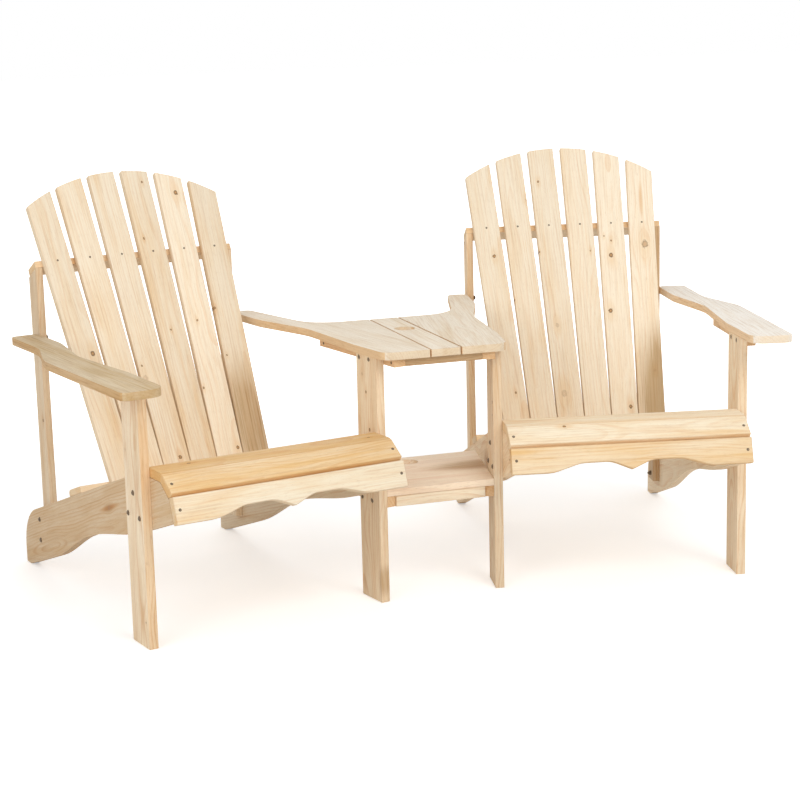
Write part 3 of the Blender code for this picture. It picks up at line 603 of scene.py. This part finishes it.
# Boards whose narrow sides get stronger painted shade than others of their timber, by how many
# times
# On the upper back rails it is the slats' shadow falling between them
STRONGER_SIDE_SHADE = {
    "left_outer_leg": 2.8, "left_upper_back_rail": 6.0, "right_upper_back_rail": 9.0,
}
# Broad darker marks, partly stains and partly painted shade, as their place, radius and strength
STAINS_AND_PAINTED_SHADE = {
    # Darker towards the slats' feet
    "left_back_slat_6": ((-0.331, 0.131, 0.340), 0.021, 1.10),
    "right_back_slat_1": ((0.690, 0.052, 0.335), 0.024, 1.60),
    # Painted shadow of the right chair's leg and stringer on the shelf panel
    "shelf_panel": ((0.142, -0.118, 0.254), 0.017, 1.30),
    "left_outer_stringer": ((-0.716, -0.146, 0.250), 0.0036, 0.40),
    "left_outer_arm": ((-0.746, -0.249, 0.567), 0.008, 0.30),
    "left_inner_leg": ((-0.140, -0.262, 0.050), 0.0045, 0.80),
}
# Long resin streaks, as their place, radius and strength
RESIN = {
    "right_back_slat_1": ((0.743, 0.291, 0.788), 0.0018, 0.60),
    "left_outer_stringer": ((-0.716, -0.146, 0.250), 0.0022, 0.80),
}
# Boards without a knot
CLEAR_BOARDS = {
    "left_apron", "right_apron", "left_nose_slat", "left_outer_arm", "right_outer_arm",
    "left_table_wing", "table_centre_board", "table_front_rail", "left_table_cleat",
    "shelf_panel", "shelf_front_rail", "left_shelf_cleat", "left_inner_stringer",
}
# Knots that the boards show, as their place, radius and blackness
SEEN_KNOTS = {
    "left_outer_stringer": (
        ((-0.716, -0.146, 0.250), 0.0050, 0.12),
    ),
    "left_back_slat_1": (
        ((-0.682, 0.162, 0.532), 0.0048, 1.0),
    ),
    "left_back_slat_3": (
        ((-0.571, 0.165, 0.494), 0.002, 1.0),
        ((-0.567, 0.151, 0.467), 0.006, 0.15),
        ((-0.512, 0.067, 0.295), 0.0035, 1.0),
    ),
    "left_back_slat_4": (
        ((-0.504, 0.4, 0.891), 0.0022, 1.0),
        ((-0.52, 0.327, 0.766), 0.002, 1.0),
        ((-0.488, 0.221, 0.563), 0.0018, 1.0),
    ),
    "left_back_slat_5": (
        ((-0.424, 0.401, 0.862), 0.0046, 1.0),
        ((-0.42, 0.243, 0.577), 0.0022, 1.0),
        ((-0.43, 0.16, 0.431), 0.0022, 1.0),
        ((-0.37, 0.098, 0.297), 0.0035, 1.0),
    ),
    "left_back_slat_6": (
        ((-0.372, 0.266, 0.599), 0.0026, 1.0),
        ((-0.36, 0.21, 0.494), 0.0018, 1.0),
    ),
    "left_inner_leg": (
        ((-0.152, -0.229, 0.385), 0.003, 1.0),
        ((-0.158, -0.203, 0.505), 0.003, 0.15),
        ((-0.154, -0.218, 0.467), 0.0026, 1.0),
    ),
    "left_outer_leg": (
        ((-0.703, -0.306, 0.411), 0.003, 0.15),
        ((-0.683, -0.366, 0.056), 0.0014, 1.0),
    ),
    "left_outer_post": (
        ((-0.787, 0.28, 0.363), 0.003, 1.0),
    ),
    "left_seat_slat_1": (
        ((-0.584, -0.368, 0.384), 0.0032, 1.0),
        ((-0.176, -0.296, 0.384), 0.0026, 1.0),
    ),
    "right_back_slat_1": (
        ((0.729, 0.236, 0.684), 0.0080, 0.50),
        ((0.684, 0.084, 0.392), 0.003, 0.15),
    ),
    "right_back_slat_2": (
        ((0.632, 0.27, 0.706), 0.0016, 1.0),
        ((0.647, 0.26, 0.695), 0.0022, 1.0),
        ((0.639, 0.243, 0.661), 0.0046, 1.0),
        ((0.608, 0.178, 0.532), 0.0044, 1.0),
        ((0.606, 0.057, 0.313), 0.004, 1.0),
    ),
    "right_back_slat_4": (
        ((0.498, 0.373, 0.841), 0.0024, 1.0),
        ((0.465, 0.288, 0.675), 0.0018, 1.0),
        ((0.471, 0.192, 0.504), 0.0045, 0.15),
        ((0.453, 0.11, 0.349), 0.007, 0.15),
    ),
    "right_back_slat_5": (
        ((0.38, 0.246, 0.566), 0.0018, 1.0),
        ((0.459, 0.358, 0.798), 0.003, 0.15),
    ),
    "right_back_slat_6": (
        ((0.352, 0.309, 0.669), 0.0036, 1.0),
        ((0.337, 0.138, 0.356), 0.0022, 1.0),
    ),
    "right_inner_leg": (
        ((0.128, -0.249, 0.425), 0.0030, 1.0),
        ((0.129, -0.247, 0.396), 0.0020, 1.0),
    ),
    "right_nose_slat": (
        ((0.255, -0.352, 0.379), 0.003, 1.0),
    ),
}


# Boards

NO_MARK = (9.0, 9.0, 0.001, 0.0)        # a mark far off the board, where nothing shows
MERGE_GAP = 0.00002
FLAT_ANGLE = math.radians(0.4)
ARRIS_ANGLE = math.radians(35)
ARRIS_SEGMENTS = 3
BOARD_SMOOTH_ANGLE = math.radians(34)
# Where in its log a board was sawn, and what chance gives to boards that aren't listed
LOG_LENGTH = (1.0, 30.0)
LOG_ASIDE = (-0.055, 0.055)
LOG_DEPTH = (-0.015, 0.065)
CHANCE_WARMTH = (-0.05, 0.40)
CHANCE_KNOTS = (0, 1, 1, 2, 2, 3)
CHANCE_RADIUS = (0.0014, 0.0036)
CHANCE_BLACKNESS = (0.0, 0.5, 1.0)
CHANCE_WIDTH_SHARE = 0.85
# How squarely a face looks through the board or along it, from none at 0 to all at 1
ARRIS_FACING = (0.25, 0.97)
SAWN_FACING = 0.5
END_FACING = 0.55
END_SPREAD = 0.45


def clear_selection():
    """Deselects everything, because an operator acts on all that is selected."""
    bpy.ops.object.select_all(action="DESELECT")


def make_active(piece):
    """The piece alone is selected and active."""
    clear_selection()
    piece.hide_set(False)
    piece.select_set(True)
    bpy.context.view_layer.objects.active = piece


def board_frame(mesh, level_grain):
    """Directions along the fibres, across the face and through the board."""
    def run(edge):
        start, end = (mesh.vertices[index].co for index in edge.vertices)
        return end - start
    longest = max(mesh.edges, key=lambda edge: run(edge).length)
    along = level_grain or run(longest).normalized()
    areas = {}
    for face in mesh.polygons:
        key = tuple(round(abs(part), 2) for part in face.normal)
        areas.setdefault(key, [0.0, face.normal.copy()])[0] += face.area
    through = max(areas.values(), key=lambda item: item[0])[1].normalized()
    along = (along - through * along.dot(through)).normalized()
    return along, through.cross(along).normalized(), through


def chance_knots(node, mesh, middle, axes):
    """Small knots at chance places of a board, as (along, across, radius, blackness)."""
    runs = [[(vertex.co - middle).dot(axis) for vertex in mesh.vertices] for axis in axes[:2]]
    luck = random.Random(node + "_knots")
    found = []
    for _ in range(luck.choice(CHANCE_KNOTS)):
        found.append((luck.uniform(min(runs[0]), max(runs[0])),
                      luck.uniform(min(runs[1]), max(runs[1])) * CHANCE_WIDTH_SHARE,
                      luck.uniform(*CHANCE_RADIUS), luck.choice(CHANCE_BLACKNESS)))
    return found


def board_marks(node, mesh, middle, axes):
    """The stain and painted shade, the resin and the knots of a board, each as four numbers by
    name.

    They are a mark's places along and across the board, its radius and its strength."""
    def on_this_board(place, radius, strength):
        away = Vector(place) - middle
        return away.dot(axes[0]), away.dot(axes[1]), radius, strength
    marks = {}
    for name, table in (("stain_and_shade", STAINS_AND_PAINTED_SHADE), ("resin", RESIN)):
        marks[name] = on_this_board(*table[node]) if node in table else NO_MARK
    knots = [on_this_board(*knot) for knot in SEEN_KNOTS.get(node, ())]
    if node not in SEEN_KNOTS and node not in CLEAR_BOARDS:
        knots = chance_knots(node, mesh, middle, axes)
    knots = (knots + [NO_MARK] * KNOTS_PER_BOARD)[:KNOTS_PER_BOARD]
    for number, knot in enumerate(knots, 1):
        marks[f"knot_{number}"] = knot
    return marks


def mark_faces(node, mesh, axes):
    """Stores which faces are worn edges, sawn ends and narrow sides with painted shade."""
    along, _, through = axes
    arris = mesh.attributes.new("arris", "FLOAT", "FACE")
    ends = mesh.attributes.new("end_grain", "FLOAT", "FACE")
    sides = mesh.attributes.new("painted_shade_side", "FLOAT", "FACE")
    for face in mesh.polygons:
        face_on = abs(face.normal.dot(through))
        end_on = abs(face.normal.dot(along))
        worn = ARRIS_FACING[0] < face_on < ARRIS_FACING[1]
        sawn = face_on < SAWN_FACING
        end_share = max(0.0, end_on - END_FACING) / END_SPREAD
        on_side = sawn and end_on < END_FACING
        arris.data[face.index].value = 1.0 if worn else 0.0
        ends.data[face.index].value = end_share if sawn else 0.0
        sides.data[face.index].value = STRONGER_SIDE_SHADE.get(node, 1.0) if on_side else 0.0


def mark_board(node, mesh, axes):
    """Stores a board's log place, tone and painted light, marks, and worn, sawn and shaded faces.
    """
    log = random.Random(node)
    shift = (log.uniform(*LOG_LENGTH), log.uniform(*LOG_ASIDE), 0.0)
    pith_depth = log.uniform(*LOG_DEPTH)
    warmth, brightness = TONES_AND_PAINTED_LIGHT.get(node, (None, 1.0))
    if warmth is None:
        warmth = random.Random(node + "_tone").uniform(*CHANCE_WARMTH)
    middle = sum((vertex.co for vertex in mesh.vertices), Vector()) / len(mesh.vertices)
    grain = mesh.attributes.new("grain", "FLOAT_VECTOR", "POINT")
    board = mesh.attributes.new("board_place", "FLOAT_VECTOR", "POINT")
    for vertex, in_log, on_board in zip(mesh.vertices, grain.data, board.data):
        parts = [(vertex.co - middle).dot(axis) for axis in axes]
        on_board.vector = parts
        in_log.vector = [part + move for part, move in zip(parts, shift)]
    for name, mark in board_marks(node, mesh, middle, axes).items():
        stored = mesh.attributes.new(name, "FLOAT_COLOR", "POINT")
        stored.data.foreach_set("color", mark * len(mesh.vertices))
    tones = {"tone": warmth, "brightness": brightness, "pith_depth": pith_depth}
    for name, value in tones.items():
        stored = mesh.attributes.new(name, "FLOAT", "POINT")
        stored.data.foreach_set("value", [value] * len(mesh.vertices))
    mark_faces(node, mesh, axes)


def clean_copy(node):
    """A copy of a node's mesh, merged, with flat faces joined up again."""
    mesh = frame["nodes"][node].data.copy()
    mesh.materials.clear()
    for layer in list(mesh.uv_layers):
        mesh.uv_layers.remove(layer)
    piece = bpy.data.objects.new(f"{node}_timber", mesh)
    bpy.context.scene.collection.objects.link(piece)
    make_active(piece)
    bpy.ops.object.mode_set(mode="EDIT")
    bpy.ops.mesh.select_all(action="SELECT")
    bpy.ops.mesh.remove_doubles(threshold=MERGE_GAP)
    bpy.ops.mesh.dissolve_limited(angle_limit=FLAT_ANGLE)
    bpy.ops.object.mode_set(mode="OBJECT")
    return piece


def dress_board(node, slot, level_grain):
    """A softened board in its timber, in place of the node."""
    piece = clean_copy(node)
    mesh = piece.data
    axes = board_frame(mesh, level_grain)
    bevel = piece.modifiers.new("arris", "BEVEL")
    bevel.width = ARRIS[slot]
    bevel.segments = ARRIS_SEGMENTS
    bevel.limit_method = "ANGLE"
    bevel.angle_limit = ARRIS_ANGLE
    bevel.use_clamp_overlap = True
    bpy.ops.object.modifier_apply(modifier="arris")
    mark_board(node, mesh, axes)
    bpy.ops.object.shade_smooth_by_angle(angle=BOARD_SMOOTH_ANGLE)
    mesh.materials.append(TIMBERS[OTHER_TIMBER.get(node, slot)])
    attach(piece, "root")
    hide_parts(node)
    return piece


def grain_of(node):
    """Direction of the fibres where a board's longest edge doesn't give it."""
    for side, word in CHAIRS:
        if node == f"{word}_table_wing":
            return turned_with(side, (0, 1, 0))
    return X_AXIS if node == "shelf_panel" else None


BOARDS = {node: dress_board(node, slot, grain_of(node)) for node, slot in SLOTS.items()}


# Fasteners

# Outlines as (radius, height) pairs, from the board's face up
HEAD_WASHER = ((0.0058, 0.0), (0.0058, 0.0006), (0.0055, 0.0008))
NUT_WASHER = ((0.0064, 0.0), (0.0064, 0.0008), (0.0061, 0.0010))
ROUND_HEAD = ((0.0045, 0.0008), (0.0045, 0.0013), (0.0041, 0.0021), (0.0031, 0.0028),
              (0.0018, 0.0032), (0.0007, 0.0034))
NUT = ((0.0050, 0.0010), (0.0057, 0.0015), (0.0057, 0.0050), (0.0050, 0.0057))
BOLT_END = ((0.0030, 0.0057), (0.0030, 0.0084), (0.0025, 0.0090))
LAG_HEAD = ((0.0055, 0.0010), (0.0055, 0.0042), (0.0048, 0.0049))
SIX_SIDED = 6
WASHER_SIDES = 28
HEAD_SIDES = 24
BOLT_SIDES = 16
SCREW_SIDES = 20
FASTENER_SMOOTH_ANGLE = math.radians(32)

SCREW_RADIUS = 0.0032
SLAT_SCREW_RADIUS = 0.0024
SCREW_OUTLINE = ((0.7, -0.0010), (1.0, 0.0001), (1.0, 0.0003), (0.92, 0.0004))
CROSS_LENGTH_SHARE = 1.15
CROSS_WIDTH_SHARE = 0.30
CROSS_DEPTH = 0.0012

# Places of the bolts, as shares of a leg's depth from its front and of a stringer's
# upright depth from its top
STRINGER_BOLT_SHARES = ((0.53, 0.30), (0.20, 0.68), (0.89, 0.68))
POST_BOLT_DOWN_SHARES = (0.22, 0.61)
ARM_CLEAT_BOLT_SHARES = (0.25, 0.75)
TABLE_CLEAT_BOLT_SHARES = (0.36, 0.86)
SHELF_CLEAT_BOLT_SHARES = (0.38, 0.88)
LAG_TURN = 0.2

# How far in front of a board the search for its face starts, and where the screws sit
SIGHT_LINE = 0.12
LOWER_SCREW_UP = 0.012
SCREW_INSET = 0.256
NOSE_SCREW_Z = 0.366
APRON_SCREW_Z = 0.320
CLEAT_SCREW_YS = (-0.032, 0.272)


def turn_up(name, outline, sides):
    """Solid grown from a disc by extruding and sizing its end, from (radius, height) pairs."""
    clear_selection()
    radius, height = outline[0]
    bpy.ops.mesh.primitive_circle_add(vertices=sides, radius=radius, fill_type="NGON",
                                      location=(0, 0, height))
    piece = bpy.context.object
    piece.name = name
    bpy.ops.object.transform_apply(location=True, rotation=False, scale=False)
    bpy.ops.object.mode_set(mode="EDIT")
    bpy.ops.mesh.select_all(action="SELECT")
    for before, after in zip(outline, outline[1:]):
        step = (0, 0, after[1] - before[1])
        bpy.ops.mesh.extrude_region_move(TRANSFORM_OT_translate={"value": step})
        size = after[0] / before[0]
        bpy.ops.transform.resize(value=(size, size, 1), center_override=(0, 0, after[1]))
    bpy.ops.mesh.select_all(action="SELECT")
    bpy.ops.mesh.normals_make_consistent(inside=False)
    bpy.ops.object.mode_set(mode="OBJECT")
    bpy.ops.object.shade_smooth_by_angle(angle=FASTENER_SMOOTH_ANGLE)
    return piece


def welded(name, pieces):
    """Several shapes as one piece."""
    clear_selection()
    for piece in pieces:
        piece.select_set(True)
    bpy.context.view_layer.objects.active = pieces[0]
    bpy.ops.object.join()
    pieces[0].name = name
    return pieces[0]


def bolt_head():
    """Round-headed bolt on a washer, seen from outside the board."""
    return welded("bolt_head", [turn_up("washer", HEAD_WASHER, WASHER_SIDES),
                                turn_up("head", ROUND_HEAD, HEAD_SIDES)])


def bolt_nut():
    """Washer, six-sided nut and the bolt's end."""
    return welded("bolt_nut", [turn_up("washer", NUT_WASHER, WASHER_SIDES),
                               turn_up("nut", NUT, SIX_SIDED),
                               turn_up("end", BOLT_END, BOLT_SIDES)])


def lag_head():
    """Six-sided head of the screw from a post into the end of its arm."""
    return welded("lag_head", [turn_up("washer", NUT_WASHER, WASHER_SIDES),
                               turn_up("head", LAG_HEAD, SIX_SIDED)])


def screw_head(radius):
    """Countersunk head, with a pressed cross, a hair above the board."""
    outline = [(radius * share, height) for share, height in SCREW_OUTLINE]
    head = turn_up("screw", outline, SCREW_SIDES)
    for turn in (0, math.pi / 2):
        clear_selection()
        bpy.ops.mesh.primitive_cube_add(
            size=1, location=(0, 0, CROSS_DEPTH / 2),
            scale=(radius * CROSS_LENGTH_SHARE, radius * CROSS_WIDTH_SHARE, CROSS_DEPTH))
        slot_cutter = bpy.context.object
        slot_cutter.rotation_euler.z = turn
        bpy.ops.object.transform_apply(location=True, rotation=True, scale=True)
        make_active(head)
        cut = head.modifiers.new("cross", "BOOLEAN")
        cut.operation = "DIFFERENCE"
        cut.solver = "EXACT"
        cut.object = slot_cutter
        bpy.ops.object.modifier_apply(modifier="cross")
        bpy.data.objects.remove(slot_cutter)
    return head


PATTERNS = {"bolt": bolt_head(), "nut": bolt_nut(), "lag": lag_head(),
            "screw": screw_head(SCREW_RADIUS), "slat_screw": screw_head(SLAT_SCREW_RADIUS)}
for pattern in PATTERNS.values():
    pattern.data.materials.clear()
    pattern.data.materials.append(STEEL)


def fasten(kind, name, place, outward, spin=0.0):
    """One fastener on a board's face, its axis along outward."""
    mesh = PATTERNS[kind].data.copy()
    turn = outward.to_track_quat("Z", "Y").to_matrix().to_4x4()
    mesh.transform(Matrix.Translation(place) @ turn @ Matrix.Rotation(spin, 4, "Z"))
    piece = bpy.data.objects.new(name, mesh)
    bpy.context.scene.collection.objects.link(piece)
    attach(piece, "root")


def chance_turn(name):
    """How far a fastener happens to be turned."""
    return random.Random(name).uniform(0, math.pi)


def bolt_through(side, flank, name, y, z, head_x, nut_x):
    """Bolt across a chair's boards: its head outside and its nut inside."""
    out = turned_with(side, (flank, 0, 0))
    fasten("bolt", f"{name}_head", on_chair(side, flank * head_x, y, z), out)
    sense = 1 if nut_x > head_x else -1
    fasten("nut", f"{name}_nut", on_chair(side, flank * nut_x, y, z), out * sense,
           chance_turn(name))


def post_front():
    """Front of the posts."""
    rise = UPPER_RAIL_UP - POST_TOP_DROP
    return (BACK_FOOT_Y + rise * math.sin(BACK_LEAN)
            + (SLAT_BOARD + FIT) * math.cos(BACK_LEAN) + FIT)


def bolt_flank(side, word, flank, edge, cleat):
    """Bolts of a chair's outer or inner side: leg, post, cleat and the end of the arm.

    The cleat is given by its height, its thickness and the places of its bolts."""
    for number, (across, down) in enumerate(STRINGER_BOLT_SHARES, 1):
        bolt_through(side, flank, f"{word}_{edge}_stringer_bolt_{number}",
                     LEG_DEPTH * across, SEAT_UNDER - VERTICAL_DEPTH * down,
                     LEG_OUT, STRINGER_IN)
    post_y = post_front() + POST_DEPTH / 2
    for number, down in enumerate(POST_BOLT_DOWN_SHARES, 1):
        bolt_through(side, flank, f"{word}_{edge}_post_bolt_{number}", post_y,
                     slope_top(post_y) - VERTICAL_DEPTH * down, STRINGER_OUT, POST_IN)
    height, width, shares = cleat
    for number, share in enumerate(shares, 1):
        bolt_through(side, flank, f"{word}_{edge}_cleat_bolt_{number}", LEG_DEPTH * share,
                     ARM_UNDER - height / 2, STRINGER_OUT + FIT, CLEAT_IN + width)
    screw_y = (post_front() + ARM_REAR) / 2
    fasten("lag", f"{word}_{edge}_arm_screw",
           on_chair(side, flank * POST_IN, screw_y, ARM_UNDER + ARM_BOARD / 2),
           turned_with(side, (-flank, 0, 0)), LAG_TURN)


def bolt_chair(side, word):
    """All the bolts of one chair."""
    bolt_flank(side, word, 1, "outer", (ARM_CLEAT_HEIGHT, BOARD, ARM_CLEAT_BOLT_SHARES))
    bolt_flank(side, word, -1, "inner",
               (TABLE_CLEAT_HEIGHT, CLEAT_BOARD, TABLE_CLEAT_BOLT_SHARES))
    for number, share in enumerate(SHELF_CLEAT_BOLT_SHARES, 1):
        bolt_through(side, -1, f"{word}_shelf_bolt_{number}", LEG_DEPTH * share,
                     SHELF_UNDER - SHELF_CLEAT_HEIGHT / 2, STRINGER_OUT + FIT,
                     CLEAT_IN + BOARD)


def on_board(node, side, place, inward):
    """Where a line from a place of the chair's frame first meets a board, and the face there."""
    mesh = BOARDS[node].data
    tree = BVHTree.FromPolygons([vertex.co for vertex in mesh.vertices],
                                [tuple(face.vertices) for face in mesh.polygons])
    heading = turned_with(side, inward)
    start = on_chair(side, *place) - heading * SIGHT_LINE
    hit, normal, _, _ = tree.ray_cast(start, heading)
    return hit, normal


def screw_on(side, word, board, label, place, inward, kind="screw"):
    """Wood screw in a board's face, on a line of the chair's frame."""
    name = f"{word}_{label}"
    hit, normal = on_board(f"{word}_{board}", side, place, inward)
    fasten(kind, name, hit, normal, chance_turn(name))


def screw_chair(side, word):
    """Wood screws of the slats, nose, apron and table cleat."""
    square_to_back = (0, math.cos(BACK_LEAN), -math.sin(BACK_LEAN))
    for label, up in (("upper", UPPER_RAIL_UP), ("lower", LOWER_SCREW_UP)):
        for number in range(1, BACK_SLATS + 1):
            row_place = (BACK_SLATS + 1) / 2 - number
            screw_on(side, word, f"back_slat_{number}", f"{label}_slat_screw_{number}",
                     on_slats(row_place, up), square_to_back, "slat_screw")
    for number, x in enumerate((-SCREW_INSET, SCREW_INSET), 1):
        screw_on(side, word, "nose_slat", f"nose_screw_{number}",
                 (x, SEAT_FRONT, NOSE_SCREW_Z), (0, 1, 0))
        screw_on(side, word, "apron", f"apron_screw_{number}",
                 (x, SEAT_FRONT, APRON_SCREW_Z), (0, 1, 0))
    cleat_z = ARM_UNDER - TABLE_CLEAT_HEIGHT / 2
    for number, y in enumerate(CLEAT_SCREW_YS, 1):
        screw_on(side, word, "table_cleat", f"cleat_screw_{number}",
                 (-CLEAT_IN, y, cleat_z), (-1, 0, 0))


for side, word in CHAIRS:
    bolt_chair(side, word)
    screw_chair(side, word)
for pattern in PATTERNS.values():
    bpy.data.objects.remove(pattern)


# Floor, light and camera

FLOOR_SIZE = 60
FLOOR_DROP = 0.0005
FLOOR_GREY = (0.90, 0.90, 0.90, 1)
FLOOR_ROUGHNESS = 0.9
WHITE = (1, 1, 1, 1)
# The floor grows white to the camera from near the chairs outwards
GLOW_NEAR, GLOW_FAR, GLOW_LEAST = 1.0, 2.6, 0.40
WORLD_LIGHT = 0.60
# Name, place, size and watts
LAMPS = (
    ("key", (0.9, -3.9, 3.4), 2.2, 78.0),
    ("fill", (-3.4, -2.6, 1.8), 2.6, 44.0),
    ("rim", (0.5, 3.4, 3.0), 2.4, 22.0),
)
LAMP_AIM = Vector((0, 0, 0.35))
CAMERA_PLACE = Vector((-1.38502, -4.19816, 1.31478))
CAMERA_YAW = math.radians(18.194)
CAMERA_PITCH = math.radians(11.762)
CAMERA_ROLL = math.radians(-1.448)
CAMERA_LENS = 87.94
CAMERA_SENSOR = 36.0
CAMERA_NEAR = 0.05


def floor():
    """Pale floor that keeps the chairs' shadow."""
    clear_selection()
    bpy.ops.mesh.primitive_plane_add(size=FLOOR_SIZE, location=(0, 0, -FLOOR_DROP))
    piece = bpy.context.object
    piece.name = "floor"
    material, sheet, shader = new_material("pale_floor")
    shader.inputs["Base Color"].default_value = FLOOR_GREY
    shader.inputs["Roughness"].default_value = FLOOR_ROUGHNESS
    shader.inputs["Specular IOR Level"].default_value = 0.0
    shader.inputs["Emission Color"].default_value = WHITE
    far = sheet.node("ShaderNodeVectorMath", operation="LENGTH")
    sheet.feed(far.inputs[0], sheet.node("ShaderNodeTexCoord").outputs["Object"])
    glow = sheet.ramp(far.outputs["Value"], GLOW_NEAR, GLOW_FAR, start=GLOW_LEAST)
    seen = sheet.node("ShaderNodeLightPath").outputs["Is Camera Ray"]
    sheet.feed(shader.inputs["Emission Strength"], sheet.sum("MULTIPLY", seen, glow))
    piece.data.materials.append(material)


def surroundings():
    """White to the eye, in gloss and through glass, and softer as light."""
    world = bpy.data.worlds.new("white")
    bpy.context.scene.world = world
    world.use_nodes = True
    sheet = Sheet(world.node_tree)
    background = world.node_tree.nodes["Background"]
    path = sheet.node("ShaderNodeLightPath").outputs
    seen = sheet.together("MAXIMUM", [path["Is Camera Ray"], path["Is Glossy Ray"],
                                      path["Is Transmission Ray"]])
    background.inputs["Color"].default_value = WHITE
    sheet.feed(background.inputs["Strength"], sheet.ramp(seen, 0.0, 1.0, start=WORLD_LIGHT))


def lamps():
    """Soft square lamps, aimed at the seats."""
    for name, place, size, watts in LAMPS:
        lamp = bpy.data.lights.new(name, "AREA")
        lamp.size = size
        lamp.energy = watts
        holder = bpy.data.objects.new(name, lamp)
        bpy.context.scene.collection.objects.link(holder)
        holder.location = place
        holder.rotation_euler = (LAMP_AIM - Vector(place)).to_track_quat("-Z", "Y").to_euler()


def camera():
    """Camera at the photograph's viewing angle."""
    data = bpy.data.cameras.new("camera")
    data.sensor_width = CAMERA_SENSOR
    data.lens = CAMERA_LENS
    data.clip_start = CAMERA_NEAR
    holder = bpy.data.objects.new("camera", data)
    bpy.context.scene.collection.objects.link(holder)
    level = Vector((math.sin(CAMERA_YAW), math.cos(CAMERA_YAW), 0))
    ahead = level * math.cos(CAMERA_PITCH) - Z_AXIS * math.sin(CAMERA_PITCH)
    right = ahead.cross(Z_AXIS).normalized()
    up = right.cross(ahead)
    tilted_right = right * math.cos(CAMERA_ROLL) + up * math.sin(CAMERA_ROLL)
    tilted_up = up * math.cos(CAMERA_ROLL) - right * math.sin(CAMERA_ROLL)
    turn = Matrix((tilted_right, tilted_up, -ahead)).transposed()
    holder.matrix_world = Matrix.Translation(CAMERA_PLACE) @ turn.to_4x4()
    bpy.context.scene.camera = holder


floor()
surroundings()
lamps()
camera()
bpy.context.scene.view_settings.view_transform = "Standard"
bpy.context.view_layer.update()
